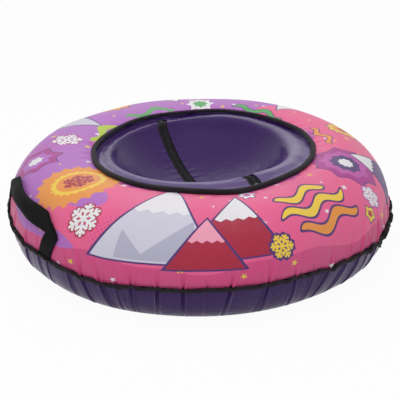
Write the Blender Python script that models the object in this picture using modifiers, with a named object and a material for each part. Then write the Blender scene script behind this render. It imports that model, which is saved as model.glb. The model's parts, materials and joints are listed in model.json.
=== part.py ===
"""Snow tube: a soft ring with a sunk seat, on an inflated inner tube inside a sewn cover.

The frame is metres with +Z up. The origin is on the ground under the middle of the ring.
The two webbing handles lie on -X and +X. The zip of the seat runs along Y.
"""

import math

import bmesh
import bpy
from mathutils import Matrix, Vector

PART_NAME = "snow_tube"

# Round count shared by all turned pieces, so that their facets stay parallel
TURN_STEPS = 40
SMALL_STEPS = 20

# Running gap between neighbouring pieces and overrun of the cuts
GAP = 0.0003
TUBE_GAP = 0.0004
CUT_OVERRUN = 0.004

# Cover, outer form
COVER_RADIUS = 0.448
WIDEST_HEIGHT = 0.092
CREST_HEIGHT = 0.209
GROUND_INSET = 0.052
GROUND_RADIUS = COVER_RADIUS - GROUND_INSET
COVER_THICKNESS = 0.0010
UPPER_STEPS = 6
LOWER_STEPS = 5
INWARD_STEPS = 2

# Outer seam: both covers turn out flat and a folded tape binds them
SEAM_CREASE_DEPTH = 0.0025
SEAM_RADIUS = COVER_RADIUS - SEAM_CREASE_DEPTH
SEAM_DROP = 0.009
SEAM_HEIGHT = WIDEST_HEIGHT - SEAM_DROP
SEAM_FLANGE_WIDTH = 0.0095
SEAM_CREASE_DROP = 0.0085
SEAM_CREASE_SHARE = 0.5
SEAM_CREASE_STEPS = 2
SEAM_TAPE_THICKNESS = 0.0011
SEAM_TAPE_CORNER = 0.0009

# Rim seam: cover and seat turn up together into a folded tape
RIM_RADIUS = 0.2545
CREST_OUTSET = 0.0455
CREST_RADIUS = RIM_RADIUS + CREST_OUTSET
RIM_DROP = 0.0070
RIM_TAPE_BASE = CREST_HEIGHT - RIM_DROP
RIM_TAPE_HEIGHT = 0.011
RIM_TAPE_WIDTH = 0.0105
RIM_FLANGE_HEIGHT = 0.0085
RIM_COVER_SHOULDER = 0.0065
RIM_COVER_DIP = 0.0012
RIM_TAPE_SHOULDER_SHARE = 0.60
RIM_TAPE_CROWN_SHARE = 0.88
RIM_TAPE_CROWN_WIDTH_SHARE = 0.70

# Seat: a dish with a true arc along which the zip slider runs
SEAT_THICKNESS = 0.0012
SEAT_CENTRE_HEIGHT = 0.090
SEAT_EDGE_INSET = 0.005
SEAT_EDGE = RIM_RADIUS - SEAT_EDGE_INSET
SEAT_WALL_RUN = 0.0476
SEAT_ARC_REACH = SEAT_EDGE - SEAT_WALL_RUN
SEAT_ARC_END_DROP = 0.018643
SEAT_ARC_RISE = RIM_TAPE_BASE - SEAT_ARC_END_DROP - SEAT_CENTRE_HEIGHT
SEAT_ARC_RADIUS = (SEAT_ARC_REACH ** 2 + SEAT_ARC_RISE ** 2) / (2.0 * SEAT_ARC_RISE)
SEAT_SHOULDER_DROP = 0.0125
SEAT_WALL_LEAD = 0.014
SEAT_SHOULDER_LEAD = 0.016
SEAT_CREASE_RISE = 0.0045
SEAT_ARC_STEPS = 9
SEAT_WALL_STEPS = 8

# Inner tube of rubber, hollow
TUBE_WALL = 0.0025
TUBE_HOLE_RADIUS = 0.150
TUBE_FACET_LOW = 0.046
TUBE_FACET_HEIGHT = 0.032
TUBE_FOOT_RUN = 0.055
TUBE_GROUND_RADIUS = TUBE_HOLE_RADIUS + TUBE_FOOT_RUN
TUBE_SEAT_CLEARANCE = 0.0038
TUBE_TURN_OUTSET = 0.0075
TUBE_TURN_DROP = 0.0115
TUBE_CONTACT_OUTSET = 0.0175
TUBE_HOLLOW_RUN = 0.0599
TUBE_HOLLOW_DEPTH = 0.01616
TUBE_LOW_STEPS = 3

# Valve on the inner side of the inner tube, under the seat, pointing to the middle
VALVE_FOOT_RADIUS = 0.0110
VALVE_FOOT_THICKNESS = 0.0025
VALVE_BOSS_RADIUS = 0.0068
VALVE_BOSS_TIP_RADIUS = 0.0052
VALVE_BOSS_LENGTH = 0.0140
VALVE_STEM_RADIUS = 0.00385
VALVE_STEM_BORE = 0.0026
VALVE_STEM_INSIDE = 0.0045
VALVE_STEM_LENGTH = 0.0355
VALVE_HOLE_CLEARANCE = 0.0006
CORE_RADIUS = 0.0023
CORE_BORE = 0.00175
CORE_NECK_BORE = 0.0009
CORE_NECK_LENGTH = 0.0020
CORE_START = 0.0160
CORE_LENGTH = 0.0170
SEAL_THICKNESS = 0.0018
SEAL_RADIUS = 0.0020
PIN_RADIUS = 0.00055
PIN_TIP = 0.0345
PIN_PLUNGER_RADIUS = 0.0019
PIN_PLUNGER_LENGTH = 0.0014
PIN_COLLAR_RADIUS = 0.00145
PIN_COLLAR_LENGTH = 0.0010
PIN_TRAVEL = 0.0015
SPRING_COIL_RADIUS = 0.00115
SPRING_WIRE_RADIUS = 0.00022
SPRING_LENGTH = 0.0062
SPRING_TURNS = 5
SPRING_POINTS_PER_TURN = 10
CAP_WALL = 0.0011
CAP_LENGTH = 0.0118
CAP_END_CLEARANCE = 0.0006

# Zip: a coil zip on the seat's diameter
SLOT_HALF_WIDTH = 0.01075
SLOT_END_INSET = 0.021
SLOT_HALF_LENGTH = RIM_RADIUS - SLOT_END_INSET
TAPE_THICKNESS = 0.0008
TAPE_INNER_EDGE = 0.0006
TAPE_WIDTH = 0.0155
TAPE_OVERLAP = 0.005
TAPE_END_RADIUS = SLOT_HALF_LENGTH + TAPE_OVERLAP
COIL_RADIUS = 0.0011
COIL_OFFSET = 0.0019
COIL_END_INSET = 0.007
COIL_END_RADIUS = SLOT_HALF_LENGTH - COIL_END_INSET
STOP_LENGTH = 0.0030
STOP_WIDTH = 0.0062
STOP_HEIGHT = 0.0023
TOP_STOP_SPLIT = 0.0008

# Zip slider and its pull
SLIDER_REST_INSET = 0.0236
SLIDER_REST_ANGLE = -math.asin((SEAT_ARC_REACH - SLIDER_REST_INSET) / SEAT_ARC_RADIUS)
SLIDER_LENGTH = 0.026
SLIDER_WIDTH = 0.0115
SLIDER_PLATE = 0.0012
SLIDER_TOP_CLEARANCE = 0.0011
SLIDER_LOW_CLEARANCE = 0.0008
SLIDER_WEB_HALF = 0.00030
SLIDER_WEB_LENGTH = 0.006
SLIDER_CORNER = 0.0028
BRIDGE_LENGTH = 0.0110
BRIDGE_HEIGHT = 0.0048
BRIDGE_BAR = 0.0013
BRIDGE_HALF_WIDTH = 0.0010
PULL_LENGTH = 0.036
PULL_WIDTH = 0.0074
PULL_THICKNESS = 0.0013
PULL_PIVOT_BAR = 0.0016
PULL_WINDOW_LENGTH = 0.0068
PULL_WINDOW_HALF = 0.0016
PULL_PIVOT_HEIGHT = 0.0022
PULL_HOLE_RADIUS = 0.0016
PULL_TIP_CLEARANCE = 0.0006
PULL_ROUND_STEPS = 6

# Handles: flat webbing, both ends sewn to the outer seam
STRAP_WIDTH = 0.038
STRAP_THICKNESS = 0.0018
STRAP_ROOT_ANGLE = math.radians(16.2)
STRAP_LEAN = math.radians(24.0)
STRAP_LOW_EDGE = 0.047
STRAP_MIDDLE_RISE = 0.001
STRAP_CORNER_RISE = 0.004
STRAP_FOLD_RISE = 0.036
STRAP_FOLD_RUN = 0.050
STRAP_FOLD_START = 0.006
STRAP_BOW = 0.006
STRAP_STANDOFF = 0.0008
STRAP_ENDS_HEIGHT = 0.0140
STRAP_SEAM_RUN = 0.0050
STRAP_SEAM_TURN = 0.0016
STRAP_STRAND_STEPS = 14
STRAP_LEG_STEPS = 3
STRAP_FOLD_STEPS = 3
STRAP_CROSS_STEPS = 3
# The right handle stands further round than opposite the left one, by whole facets of the ring
RIGHT_HANDLE_FACETS = 4
RIGHT_HANDLE_TURN = 2.0 * math.pi * RIGHT_HANDLE_FACETS / TURN_STEPS

COLOURS = {
    "printed_cover": ((0.80, 0.13, 0.32), 0.55, 0.0),
    "purple_sheeting": ((0.075, 0.032, 0.14), 0.28, 0.0),
    "black_tape": ((0.022, 0.022, 0.022), 0.80, 0.0),
    "black_webbing": ((0.015, 0.015, 0.015), 0.85, 0.0),
    "tube_rubber": ((0.030, 0.030, 0.030), 0.60, 0.0),
    "zip_plastic": ((0.020, 0.020, 0.022), 0.45, 0.0),
    "zip_metal": ((0.50, 0.50, 0.52), 0.30, 1.0),
    "brass": ((0.60, 0.42, 0.16), 0.30, 1.0),
    "steel": ((0.55, 0.56, 0.58), 0.25, 1.0),
    "cap_plastic": ((0.030, 0.030, 0.030), 0.50, 0.0),
}


def clear_scene():
    """Remove every object and collection that the scene starts with."""
    for old in list(bpy.data.objects):
        bpy.data.objects.remove(old, do_unlink=True)
    for old in list(bpy.data.collections):
        bpy.data.collections.remove(old)


def new_collection(name):
    """Make a collection in the scene."""
    collection = bpy.data.collections.new(name)
    bpy.context.scene.collection.children.link(collection)
    return collection


def make_material(name):
    """Make a plain Principled material from the table of colours."""
    colour, roughness, metallic = COLOURS[name]
    material = bpy.data.materials.new(name)
    material.use_nodes = True
    shader = material.node_tree.nodes["Principled BSDF"]
    shader.inputs["Base Color"].default_value = (*colour, 1.0)
    shader.inputs["Roughness"].default_value = roughness
    shader.inputs["Metallic"].default_value = metallic
    return material


class Workshop:
    """Holds the two collections and the materials while the pieces are made."""

    def __init__(self):
        clear_scene()
        self.parts = new_collection(PART_NAME)
        self.cutters = new_collection("cutters")
        self.materials = {name: make_material(name) for name in COLOURS}

    def add(self, name, data, material, parent=None):
        """Add a finished mesh or curve as a part."""
        part = bpy.data.objects.new(name, data)
        data.materials.append(self.materials[material])
        self.parts.objects.link(part)
        part.parent = parent
        return part

    def add_tool(self, name, data):
        """Add a cutter or a joined form, which is not a part itself."""
        tool = bpy.data.objects.new(name, data)
        tool.hide_render = True
        tool.display_type = "WIRE"
        self.cutters.objects.link(tool)
        return tool

    def add_axis(self, name, location, turn=0.0, parent=None):
        """Add an empty on a joint's axis."""
        axis = bpy.data.objects.new(name, None)
        axis.location = location
        axis.rotation_euler = (turn, 0.0, 0.0)
        axis.parent = parent
        self.parts.objects.link(axis)
        return axis


# Outlines in the plane of radius and height


def unit(step):
    """Scale a flat vector to length one."""
    length = math.hypot(*step)
    return step[0] / length, step[1] / length


def offset_line(points, distance):
    """Move an open outline sideways, to its left where distance is positive."""
    moved = []
    last = len(points) - 1
    for index, point in enumerate(points):
        before = points[max(index - 1, 0)]
        after = points[min(index + 1, last)]
        steps = []
        if index > 0:
            steps.append(unit((point[0] - before[0], point[1] - before[1])))
        if index < last:
            steps.append(unit((after[0] - point[0], after[1] - point[1])))
        normals = [(-step[1], step[0]) for step in steps]
        first, second = normals[0], normals[-1]
        spread = 1.0 + first[0] * second[0] + first[1] * second[1]
        moved.append((point[0] + distance * (first[0] + second[0]) / spread,
                      point[1] + distance * (first[1] + second[1]) / spread))
    return moved


def ellipse_points(centre, half_width, half_height, start, end, steps):
    """Points on an ellipse between two angles, both ends included."""
    points = []
    for index in range(steps + 1):
        angle = start + (end - start) * index / steps
        points.append((centre[0] + half_width * math.cos(angle), centre[1] + half_height * math.sin(angle)))
    return points


def bend_points(guides, steps):
    """Points on the smooth curve that the guide points draw from the first to the last."""
    points = []
    for index in range(steps + 1):
        share = index / steps
        level = list(guides)
        while len(level) > 1:
            level = [tuple(a + (b - a) * share for a, b in zip(first, second))
                     for first, second in zip(level, level[1:])]
        points.append(level[0])
    return points


def clockwise(points):
    """Order a closed outline so that its outer side runs down."""
    area = 0.0
    for index, point in enumerate(points):
        other = points[(index + 1) % len(points)]
        area += point[0] * other[1] - other[0] * point[1]
    return points[::-1] if area > 0.0 else points


def crease_points(flange_height, end):
    """Points from the inner end of a seam flange to where the cover stands at its width."""
    corner = (end[0], flange_height + (end[1] - flange_height) * SEAM_CREASE_SHARE)
    return bend_points([(SEAM_RADIUS, flange_height), corner, end], SEAM_CREASE_STEPS)


def top_cover_line():
    """Outer surface of the top cover, from the seam flange over the crest into the rim flange."""
    flange_height = SEAM_HEIGHT + GAP / 2.0 + COVER_THICKNESS
    flange_end = (SEAM_RADIUS + SEAM_FLANGE_WIDTH, flange_height)
    widest = (COVER_RADIUS, WIDEST_HEIGHT)
    crease = crease_points(flange_height, widest)
    upper = ellipse_points((CREST_RADIUS, WIDEST_HEIGHT), COVER_RADIUS - CREST_RADIUS,
                           CREST_HEIGHT - WIDEST_HEIGHT, 0.0, math.pi / 2.0, UPPER_STEPS)
    rim_radius = RIM_RADIUS + GAP / 2.0 + COVER_THICKNESS
    rim_foot = RIM_TAPE_BASE - RIM_COVER_DIP
    shoulder = rim_radius + RIM_COVER_SHOULDER
    inward = []
    for index in range(1, INWARD_STEPS + 1):
        share = index / INWARD_STEPS
        inward.append((CREST_RADIUS + (shoulder - CREST_RADIUS) * share,
                       CREST_HEIGHT + (rim_foot - CREST_HEIGHT) * share ** 2))
    rim = [(rim_radius, rim_foot), (rim_radius, RIM_TAPE_BASE + RIM_FLANGE_HEIGHT)]
    return [flange_end] + crease + upper[1:] + inward + rim


def bottom_cover_line():
    """Outer surface of the bottom cover, from the seam flange down to the middle of the ground."""
    flange_height = SEAM_HEIGHT - GAP / 2.0 - COVER_THICKNESS
    flange_end = (SEAM_RADIUS + SEAM_FLANGE_WIDTH, flange_height)
    start = math.asin(1.0 - (flange_height - SEAM_CREASE_DROP) / WIDEST_HEIGHT)
    lower = ellipse_points((GROUND_RADIUS, WIDEST_HEIGHT), COVER_RADIUS - GROUND_RADIUS,
                           -WIDEST_HEIGHT, start, math.pi / 2.0, LOWER_STEPS)
    crease = crease_points(flange_height, lower[0])
    return [flange_end] + crease + lower[1:] + [(0.0, 0.0)]


def seat_arc_height(radius):
    """Height of the seat's arc at a radius."""
    return SEAT_CENTRE_HEIGHT + SEAT_ARC_RADIUS - math.sqrt(SEAT_ARC_RADIUS ** 2 - radius ** 2)


def seat_arc_line():
    """The seat's true arc, from the middle outwards."""
    reach = math.asin(SEAT_ARC_REACH / SEAT_ARC_RADIUS)
    radii = [SEAT_ARC_RADIUS * math.sin(reach * index / SEAT_ARC_STEPS) for index in range(SEAT_ARC_STEPS + 1)]
    return [(radius, seat_arc_height(radius)) for radius in radii]


def seat_wall_line():
    """The seat from the end of its arc up the wall to the top of its shoulder."""
    start = seat_arc_line()[-1]
    slope = math.asin(SEAT_ARC_REACH / SEAT_ARC_RADIUS)
    end = (SEAT_EDGE, RIM_TAPE_BASE - SEAT_SHOULDER_DROP)
    lead = (start[0] + SEAT_WALL_LEAD * math.cos(slope), start[1] + SEAT_WALL_LEAD * math.sin(slope))
    shoulder = (end[0] - SEAT_SHOULDER_LEAD, end[1])
    return bend_points([start, lead, shoulder, end], SEAT_WALL_STEPS)[1:]


def seat_line():
    """Upper surface of the seat, from the middle to the top of its rim flange."""
    wall = seat_wall_line()
    flange_radius = RIM_RADIUS - GAP / 2.0 - SEAT_THICKNESS
    shoulder_height = wall[-1][1]
    flange = [(flange_radius, shoulder_height + SEAT_CREASE_RISE),
              (flange_radius, RIM_TAPE_BASE + RIM_FLANGE_HEIGHT)]
    return seat_arc_line() + wall + flange


def tube_line():
    """Closed outer surface of the inner tube, which fills the covers and backs the seat."""
    cover_inset = COVER_THICKNESS + TUBE_GAP
    upper = ellipse_points((CREST_RADIUS, WIDEST_HEIGHT), COVER_RADIUS - CREST_RADIUS,
                           CREST_HEIGHT - WIDEST_HEIGHT, 0.0, math.pi / 2.0, UPPER_STEPS)
    slope = (CREST_HEIGHT - RIM_TAPE_BASE + RIM_COVER_DIP)
    run = CREST_RADIUS - RIM_RADIUS - GAP / 2.0 - COVER_THICKNESS - RIM_COVER_SHOULDER
    contact_share = (CREST_RADIUS - RIM_RADIUS - TUBE_CONTACT_OUTSET) / run
    half = INWARD_STEPS // 2 / INWARD_STEPS
    knee = (CREST_RADIUS - run * half, CREST_HEIGHT - slope * half ** 2)
    rim_foot = (CREST_RADIUS - run, CREST_HEIGHT - slope)
    reach = (contact_share - half) / (1.0 - half)
    contact = tuple(a + (b - a) * reach for a, b in zip(knee, rim_foot))
    covered = offset_line(upper[1:] + [knee, contact], cover_inset)
    start = math.asin(1.0 - (SEAM_HEIGHT - SEAM_CREASE_DROP) / WIDEST_HEIGHT)
    lower = ellipse_points((GROUND_RADIUS, WIDEST_HEIGHT), COVER_RADIUS - GROUND_RADIUS,
                           -WIDEST_HEIGHT, start, math.pi / 2.0, LOWER_STEPS)
    grounded = offset_line(lower[1:] + [(TUBE_GROUND_RADIUS, 0.0)], -cover_inset)
    crease_inside = offset_line(top_cover_line(), COVER_THICKNESS)[1][0]
    seam_point = (crease_inside - TUBE_GAP, SEAM_HEIGHT)
    seat_back = offset_line(seat_wall_line(), -TUBE_SEAT_CLEARANCE)
    turn = (RIM_RADIUS + TUBE_TURN_OUTSET, covered[-1][1] - TUBE_TURN_DROP)
    low_inner = ellipse_points((TUBE_GROUND_RADIUS, TUBE_FACET_LOW), TUBE_HOLE_RADIUS - TUBE_GROUND_RADIUS,
                               cover_inset - TUBE_FACET_LOW, math.pi / 2.0, 0.0, TUBE_LOW_STEPS)
    facet_top = (TUBE_HOLE_RADIUS, TUBE_FACET_LOW + TUBE_FACET_HEIGHT)
    hollow_turn = math.asin(SEAT_ARC_REACH / SEAT_ARC_RADIUS) - TUBE_HOLLOW_RUN / SEAT_ARC_RADIUS
    hollow_reach = SEAT_ARC_RADIUS + TUBE_HOLLOW_DEPTH
    hollow = (hollow_reach * math.sin(hollow_turn),
              SEAT_CENTRE_HEIGHT + SEAT_ARC_RADIUS - hollow_reach * math.cos(hollow_turn))
    inside = [turn] + seat_back[::-1] + [hollow, facet_top] + low_inner[::-1]
    return covered + inside + grounded[-2::-1] + [seam_point]


# Builders


def wire_mesh(name, points, closed):
    """A mesh of edges through flat points, in the plane of X and Z."""
    mesh = bpy.data.meshes.new(name)
    work = bmesh.new()
    verts = [work.verts.new((radius, 0.0, height)) for radius, height in points]
    for first, second in zip(verts, verts[1:]):
        work.edges.new((first, second))
    if closed:
        work.edges.new((verts[-1], verts[0]))
    work.to_mesh(mesh)
    work.free()
    return mesh


def turn_profile(part, steps):
    """Turn a part's profile about its own Z axis."""
    screw = part.modifiers.new("turn", "SCREW")
    screw.axis = "Z"
    screw.angle = math.tau
    screw.steps = steps
    screw.render_steps = steps
    screw.use_merge_vertices = True
    screw.merge_threshold = 0.00002
    screw.use_smooth_shade = True
    return part


def turned_part(shop, name, outline, material, steps=TURN_STEPS):
    """A ring or disc turned from a closed outline, with a flat facet facing each axis."""
    part = shop.add(name, wire_mesh(name, clockwise(outline), True), material)
    part.rotation_euler = (0.0, 0.0, math.pi / steps)
    return turn_profile(part, steps)


def sheet_outline(line, thickness):
    """Closed outline of a sheet whose outer surface is given, thickness to its left."""
    return line + offset_line(line, thickness)[::-1]


def closed_disc_outline(line, thickness):
    """As sheet_outline, for a sheet whose line ends or starts on the axis."""
    inner = offset_line(line, thickness)
    inner = [(0.0 if line[index][0] == 0.0 else point[0], point[1]) for index, point in enumerate(inner)]
    return line + inner[::-1]


def cut(part, tool, operation="DIFFERENCE"):
    """Cut or join with an exact Boolean."""
    change = part.modifiers.new(tool.name, "BOOLEAN")
    change.operation = operation
    change.solver = "EXACT"
    change.object = tool
    return part


def box_mesh(name, size, centre=(0.0, 0.0, 0.0)):
    """A box of a given size about a centre."""
    mesh = bpy.data.meshes.new(name)
    work = bmesh.new()
    place = Matrix.Translation(centre) @ Matrix.Diagonal((*size, 1.0))
    bmesh.ops.create_cube(work, size=1.0, matrix=place)
    work.to_mesh(mesh)
    work.free()
    return mesh


def rod_mesh(name, radius, length, steps=SMALL_STEPS):
    """A cylinder along X that starts at the origin."""
    mesh = bpy.data.meshes.new(name)
    work = bmesh.new()
    place = Matrix.Translation((length / 2.0, 0.0, 0.0)) @ Matrix.Rotation(math.pi / 2.0, 4, "Y")
    bmesh.ops.create_cone(work, cap_ends=True, segments=steps, radius1=radius, radius2=radius,
                          depth=length, matrix=place)
    work.to_mesh(mesh)
    work.free()
    return mesh


def sheet_mesh(name, rows):
    """An open sheet through rows of points, made from a grid."""
    mesh = bpy.data.meshes.new(name)
    work = bmesh.new()
    across = len(rows[0])
    bmesh.ops.create_grid(work, x_segments=across - 1, y_segments=len(rows) - 1, size=1.0)
    work.verts.ensure_lookup_table()
    for index, vert in enumerate(work.verts):
        vert.co = rows[index // across][index % across]
    work.to_mesh(mesh)
    work.free()
    mesh.shade_smooth()
    return mesh


def thicken(part, thickness):
    """Give a sheet its thickness, half on each side."""
    solid = part.modifiers.new("thickness", "SOLIDIFY")
    solid.thickness = thickness
    solid.offset = 0.0
    solid.use_even_offset = True
    return part


# Covers, seat and tapes


def make_covers(shop):
    """The printed top cover and the purple bottom cover."""
    turned_part(shop, "top_cover", sheet_outline(top_cover_line(), COVER_THICKNESS), "printed_cover")
    turned_part(shop, "bottom_cover", closed_disc_outline(bottom_cover_line(), -COVER_THICKNESS),
                "purple_sheeting")


def make_seat(shop):
    """The seat sheet with the slot that the zip closes."""
    seat = turned_part(shop, "seat_panel", closed_disc_outline(seat_line(), -SEAT_THICKNESS),
                       "purple_sheeting")
    slot_size = (2.0 * SLOT_HALF_WIDTH, 2.0 * SLOT_HALF_LENGTH, 2.0 * CREST_HEIGHT)
    cut(seat, shop.add_tool("zip_slot", box_mesh("zip_slot", slot_size)))


def make_rim_binding(shop):
    """The folded tape that stands round the rim."""
    half = RIM_TAPE_WIDTH / 2.0
    slot_half = max(SEAT_THICKNESS, COVER_THICKNESS) + GAP / 2.0 + GAP
    slot_top = RIM_FLANGE_HEIGHT + GAP
    crown_half = half * RIM_TAPE_CROWN_WIDTH_SHARE
    side = RIM_TAPE_HEIGHT * RIM_TAPE_SHOULDER_SHARE
    crown = RIM_TAPE_HEIGHT * RIM_TAPE_CROWN_SHARE
    outline = [(half, 0.0), (half, side), (crown_half, crown), (0.0, RIM_TAPE_HEIGHT),
               (-crown_half, crown), (-half, side), (-half, 0.0), (-slot_half, 0.0),
               (-slot_half, slot_top), (slot_half, slot_top), (slot_half, 0.0)]
    placed = [(RIM_RADIUS + radius, RIM_TAPE_BASE + height) for radius, height in outline]
    turned_part(shop, "rim_binding", placed, "black_tape")


def seam_tape_half_height():
    """Half the height of the folded tape on the outer seam."""
    return GAP / 2.0 + COVER_THICKNESS + GAP + SEAM_TAPE_THICKNESS


def seam_tape_edge():
    """Outer radius of the folded tape on the outer seam."""
    return SEAM_RADIUS + SEAM_FLANGE_WIDTH + GAP + SEAM_TAPE_THICKNESS


def make_seam_binding(shop):
    """The folded tape that lies flat round the outer seam."""
    half = seam_tape_half_height()
    slot_half = half - SEAM_TAPE_THICKNESS
    edge = seam_tape_edge()
    slot_end = edge - SEAM_TAPE_THICKNESS
    inner = COVER_RADIUS
    corner = SEAM_TAPE_CORNER
    outline = [(inner, half), (edge - corner, half), (edge, half - corner), (edge, corner - half),
               (edge - corner, -half), (inner, -half), (inner, -slot_half), (slot_end, -slot_half),
               (slot_end, slot_half), (inner, slot_half)]
    placed = [(radius, SEAM_HEIGHT + height) for radius, height in outline]
    turned_part(shop, "seam_binding", placed, "black_tape")


# Inner tube and valve


def valve_place():
    """Middle of the facet of the inner tube that carries the valve."""
    flat_radius = TUBE_HOLE_RADIUS * math.cos(math.pi / TURN_STEPS)
    return Vector((-flat_radius, 0.0, TUBE_FACET_LOW + TUBE_FACET_HEIGHT / 2.0))


def make_inner_tube(shop):
    """The hollow rubber ring with a hole for its valve."""
    tube = turned_part(shop, "inner_tube", tube_line(), "tube_rubber")
    wall = tube.modifiers.new("wall", "SOLIDIFY")
    wall.thickness = TUBE_WALL
    wall.offset = -1.0
    wall.use_even_offset = True
    hole_radius = VALVE_STEM_RADIUS + VALVE_HOLE_CLEARANCE
    hole = shop.add_tool("valve_hole", rod_mesh("valve_hole", hole_radius, TUBE_WALL + 2.0 * CUT_OVERRUN))
    hole.location = valve_place() - Vector((TUBE_WALL + CUT_OVERRUN, 0.0, 0.0))
    cut(tube, hole)


def valve_part(shop, name, outline, material, steps=SMALL_STEPS, parent=None):
    """A piece turned about the valve's axis. Its outline gives radius and distance along X."""
    part = shop.add(name, wire_mesh(name, clockwise(outline), True), material, parent)
    part.rotation_euler = (0.0, math.pi / 2.0, 0.0)
    if parent is None:
        part.location = valve_place()
    return turn_profile(part, steps)


def ring_outline(inner, outer, start, end):
    """Outline of a plain ring between two distances."""
    return [(inner, start), (inner, end), (outer, end), (outer, start)]


def make_valve(shop):
    """The valve: rubber foot, brass stem, core with its seal, pin and spring, and the cap."""
    bore = VALVE_STEM_RADIUS + GAP
    foot_top = GAP + VALVE_FOOT_THICKNESS
    valve_part(shop, "valve_foot",
               [(bore, GAP), (bore, VALVE_BOSS_LENGTH), (VALVE_BOSS_TIP_RADIUS, VALVE_BOSS_LENGTH),
                (VALVE_BOSS_RADIUS, foot_top), (VALVE_FOOT_RADIUS, foot_top), (VALVE_FOOT_RADIUS, GAP)],
               "tube_rubber")
    valve_part(shop, "valve_stem",
               ring_outline(VALVE_STEM_BORE, VALVE_STEM_RADIUS, -VALVE_STEM_INSIDE, VALVE_STEM_LENGTH),
               "brass")
    core_end = CORE_START + CORE_LENGTH
    neck_end = CORE_START + CORE_NECK_LENGTH
    valve_part(shop, "valve_core",
               [(CORE_NECK_BORE, CORE_START), (CORE_NECK_BORE, neck_end), (CORE_BORE, neck_end),
                (CORE_BORE, core_end), (CORE_RADIUS, core_end), (CORE_RADIUS, CORE_START)], "brass")
    seal_end = CORE_START - GAP
    seal_start = seal_end - SEAL_THICKNESS
    valve_part(shop, "valve_core_seal", ring_outline(CORE_NECK_BORE, SEAL_RADIUS, seal_start, seal_end),
               "tube_rubber")
    pin_axis = shop.add_axis("valve_pin_axis", valve_place())
    plunger_end = seal_start - GAP
    plunger_start = plunger_end - PIN_PLUNGER_LENGTH
    spring_start = neck_end + PIN_TRAVEL + GAP
    collar_start = spring_start + SPRING_LENGTH + 2.0 * SPRING_WIRE_RADIUS + GAP
    collar_end = collar_start + PIN_COLLAR_LENGTH
    valve_part(shop, "valve_pin",
               [(0.0, plunger_start), (PIN_PLUNGER_RADIUS, plunger_start), (PIN_PLUNGER_RADIUS, plunger_end),
                (PIN_RADIUS, plunger_end), (PIN_RADIUS, collar_start), (PIN_COLLAR_RADIUS, collar_start),
                (PIN_COLLAR_RADIUS, collar_end), (PIN_RADIUS, collar_end), (PIN_RADIUS, PIN_TIP),
                (0.0, PIN_TIP)],
               "brass", parent=pin_axis)
    make_valve_spring(shop, pin_axis, spring_start)
    cap_axis = shop.add_axis("valve_cap_axis", valve_place())
    cap_bore = VALVE_STEM_RADIUS + GAP
    cap_inside = VALVE_STEM_LENGTH + CAP_END_CLEARANCE
    cap_end = cap_inside + CAP_WALL
    cap_start = cap_end - CAP_LENGTH
    cap_radius = cap_bore + CAP_WALL
    valve_part(shop, "valve_cap",
               [(cap_bore, cap_start), (cap_bore, cap_inside), (0.0, cap_inside), (0.0, cap_end),
                (cap_radius, cap_end), (cap_radius, cap_start)],
               "cap_plastic", parent=cap_axis)


def make_valve_spring(shop, parent, start):
    """The coil spring round the pin, one unbroken wire."""
    curve = bpy.data.curves.new("valve_spring", "CURVE")
    curve.dimensions = "3D"
    curve.bevel_depth = SPRING_WIRE_RADIUS
    curve.bevel_resolution = 1
    curve.use_fill_caps = True
    count = SPRING_TURNS * SPRING_POINTS_PER_TURN + 1
    line = curve.splines.new("POLY")
    line.points.add(count - 1)
    for index, point in enumerate(line.points):
        angle = math.tau * index / SPRING_POINTS_PER_TURN
        along = start + SPRING_WIRE_RADIUS + SPRING_LENGTH * index / (count - 1)
        point.co = (along, SPRING_COIL_RADIUS * math.cos(angle), SPRING_COIL_RADIUS * math.sin(angle), 1.0)
    shop.add("valve_spring", curve, "steel", parent)


# Zip


def zip_line(depth, end_radius):
    """The zip's line on one side, from the middle out, a depth below the seat's surface."""
    surface = seat_arc_line() + seat_wall_line()
    squeezed = [(radius * math.cos(math.pi / TURN_STEPS), height) for radius, height in surface]
    moved = offset_line([(-squeezed[1][0], squeezed[1][1])] + squeezed, -depth)[1:]
    moved[0] = (0.0, moved[0][1])
    line = []
    for first, second in zip(moved, moved[1:]):
        line.append(first)
        if second[0] >= end_radius:
            share = (end_radius - first[0]) / (second[0] - first[0])
            line.append((end_radius, first[1] + (second[1] - first[1]) * share))
            return line
    return moved


def both_sides(line):
    """A line from the near end to the far end, in the plane of Y and Z."""
    near = [(-along, height) for along, height in line[:0:-1]]
    return near + line


def tape_depth():
    """Depth of the middle of the zip tapes under the seat's upper surface."""
    return SEAT_THICKNESS + GAP + TAPE_THICKNESS / 2.0


def coil_depth():
    """Depth of the middle of the zip coils under the seat's upper surface."""
    return SEAT_THICKNESS - COIL_RADIUS


def make_zip(shop):
    """Tapes, coils and stops of the zip."""
    tape_line = both_sides(zip_line(tape_depth(), TAPE_END_RADIUS))
    coil_line = both_sides(zip_line(coil_depth(), COIL_END_RADIUS))
    for side, name in ((-1.0, "left"), (1.0, "right")):
        edges = sorted((side * TAPE_INNER_EDGE, side * (TAPE_INNER_EDGE + TAPE_WIDTH)))
        rows = [[Vector((edge, along, height)) for edge in edges] for along, height in tape_line]
        thicken(shop.add("zip_tape_" + name, sheet_mesh("zip_tape_" + name, rows), "black_tape"),
                TAPE_THICKNESS)
        curve = bpy.data.curves.new("zip_coil_" + name, "CURVE")
        curve.dimensions = "3D"
        curve.bevel_depth = COIL_RADIUS
        curve.bevel_resolution = 1
        curve.use_fill_caps = True
        line = curve.splines.new("POLY")
        line.points.add(len(coil_line) - 1)
        for point, (along, height) in zip(line.points, coil_line):
            point.co = (side * COIL_OFFSET, along, height, 1.0)
        shop.add("zip_coil_" + name, curve, "zip_plastic")
    make_stops(shop)


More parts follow.
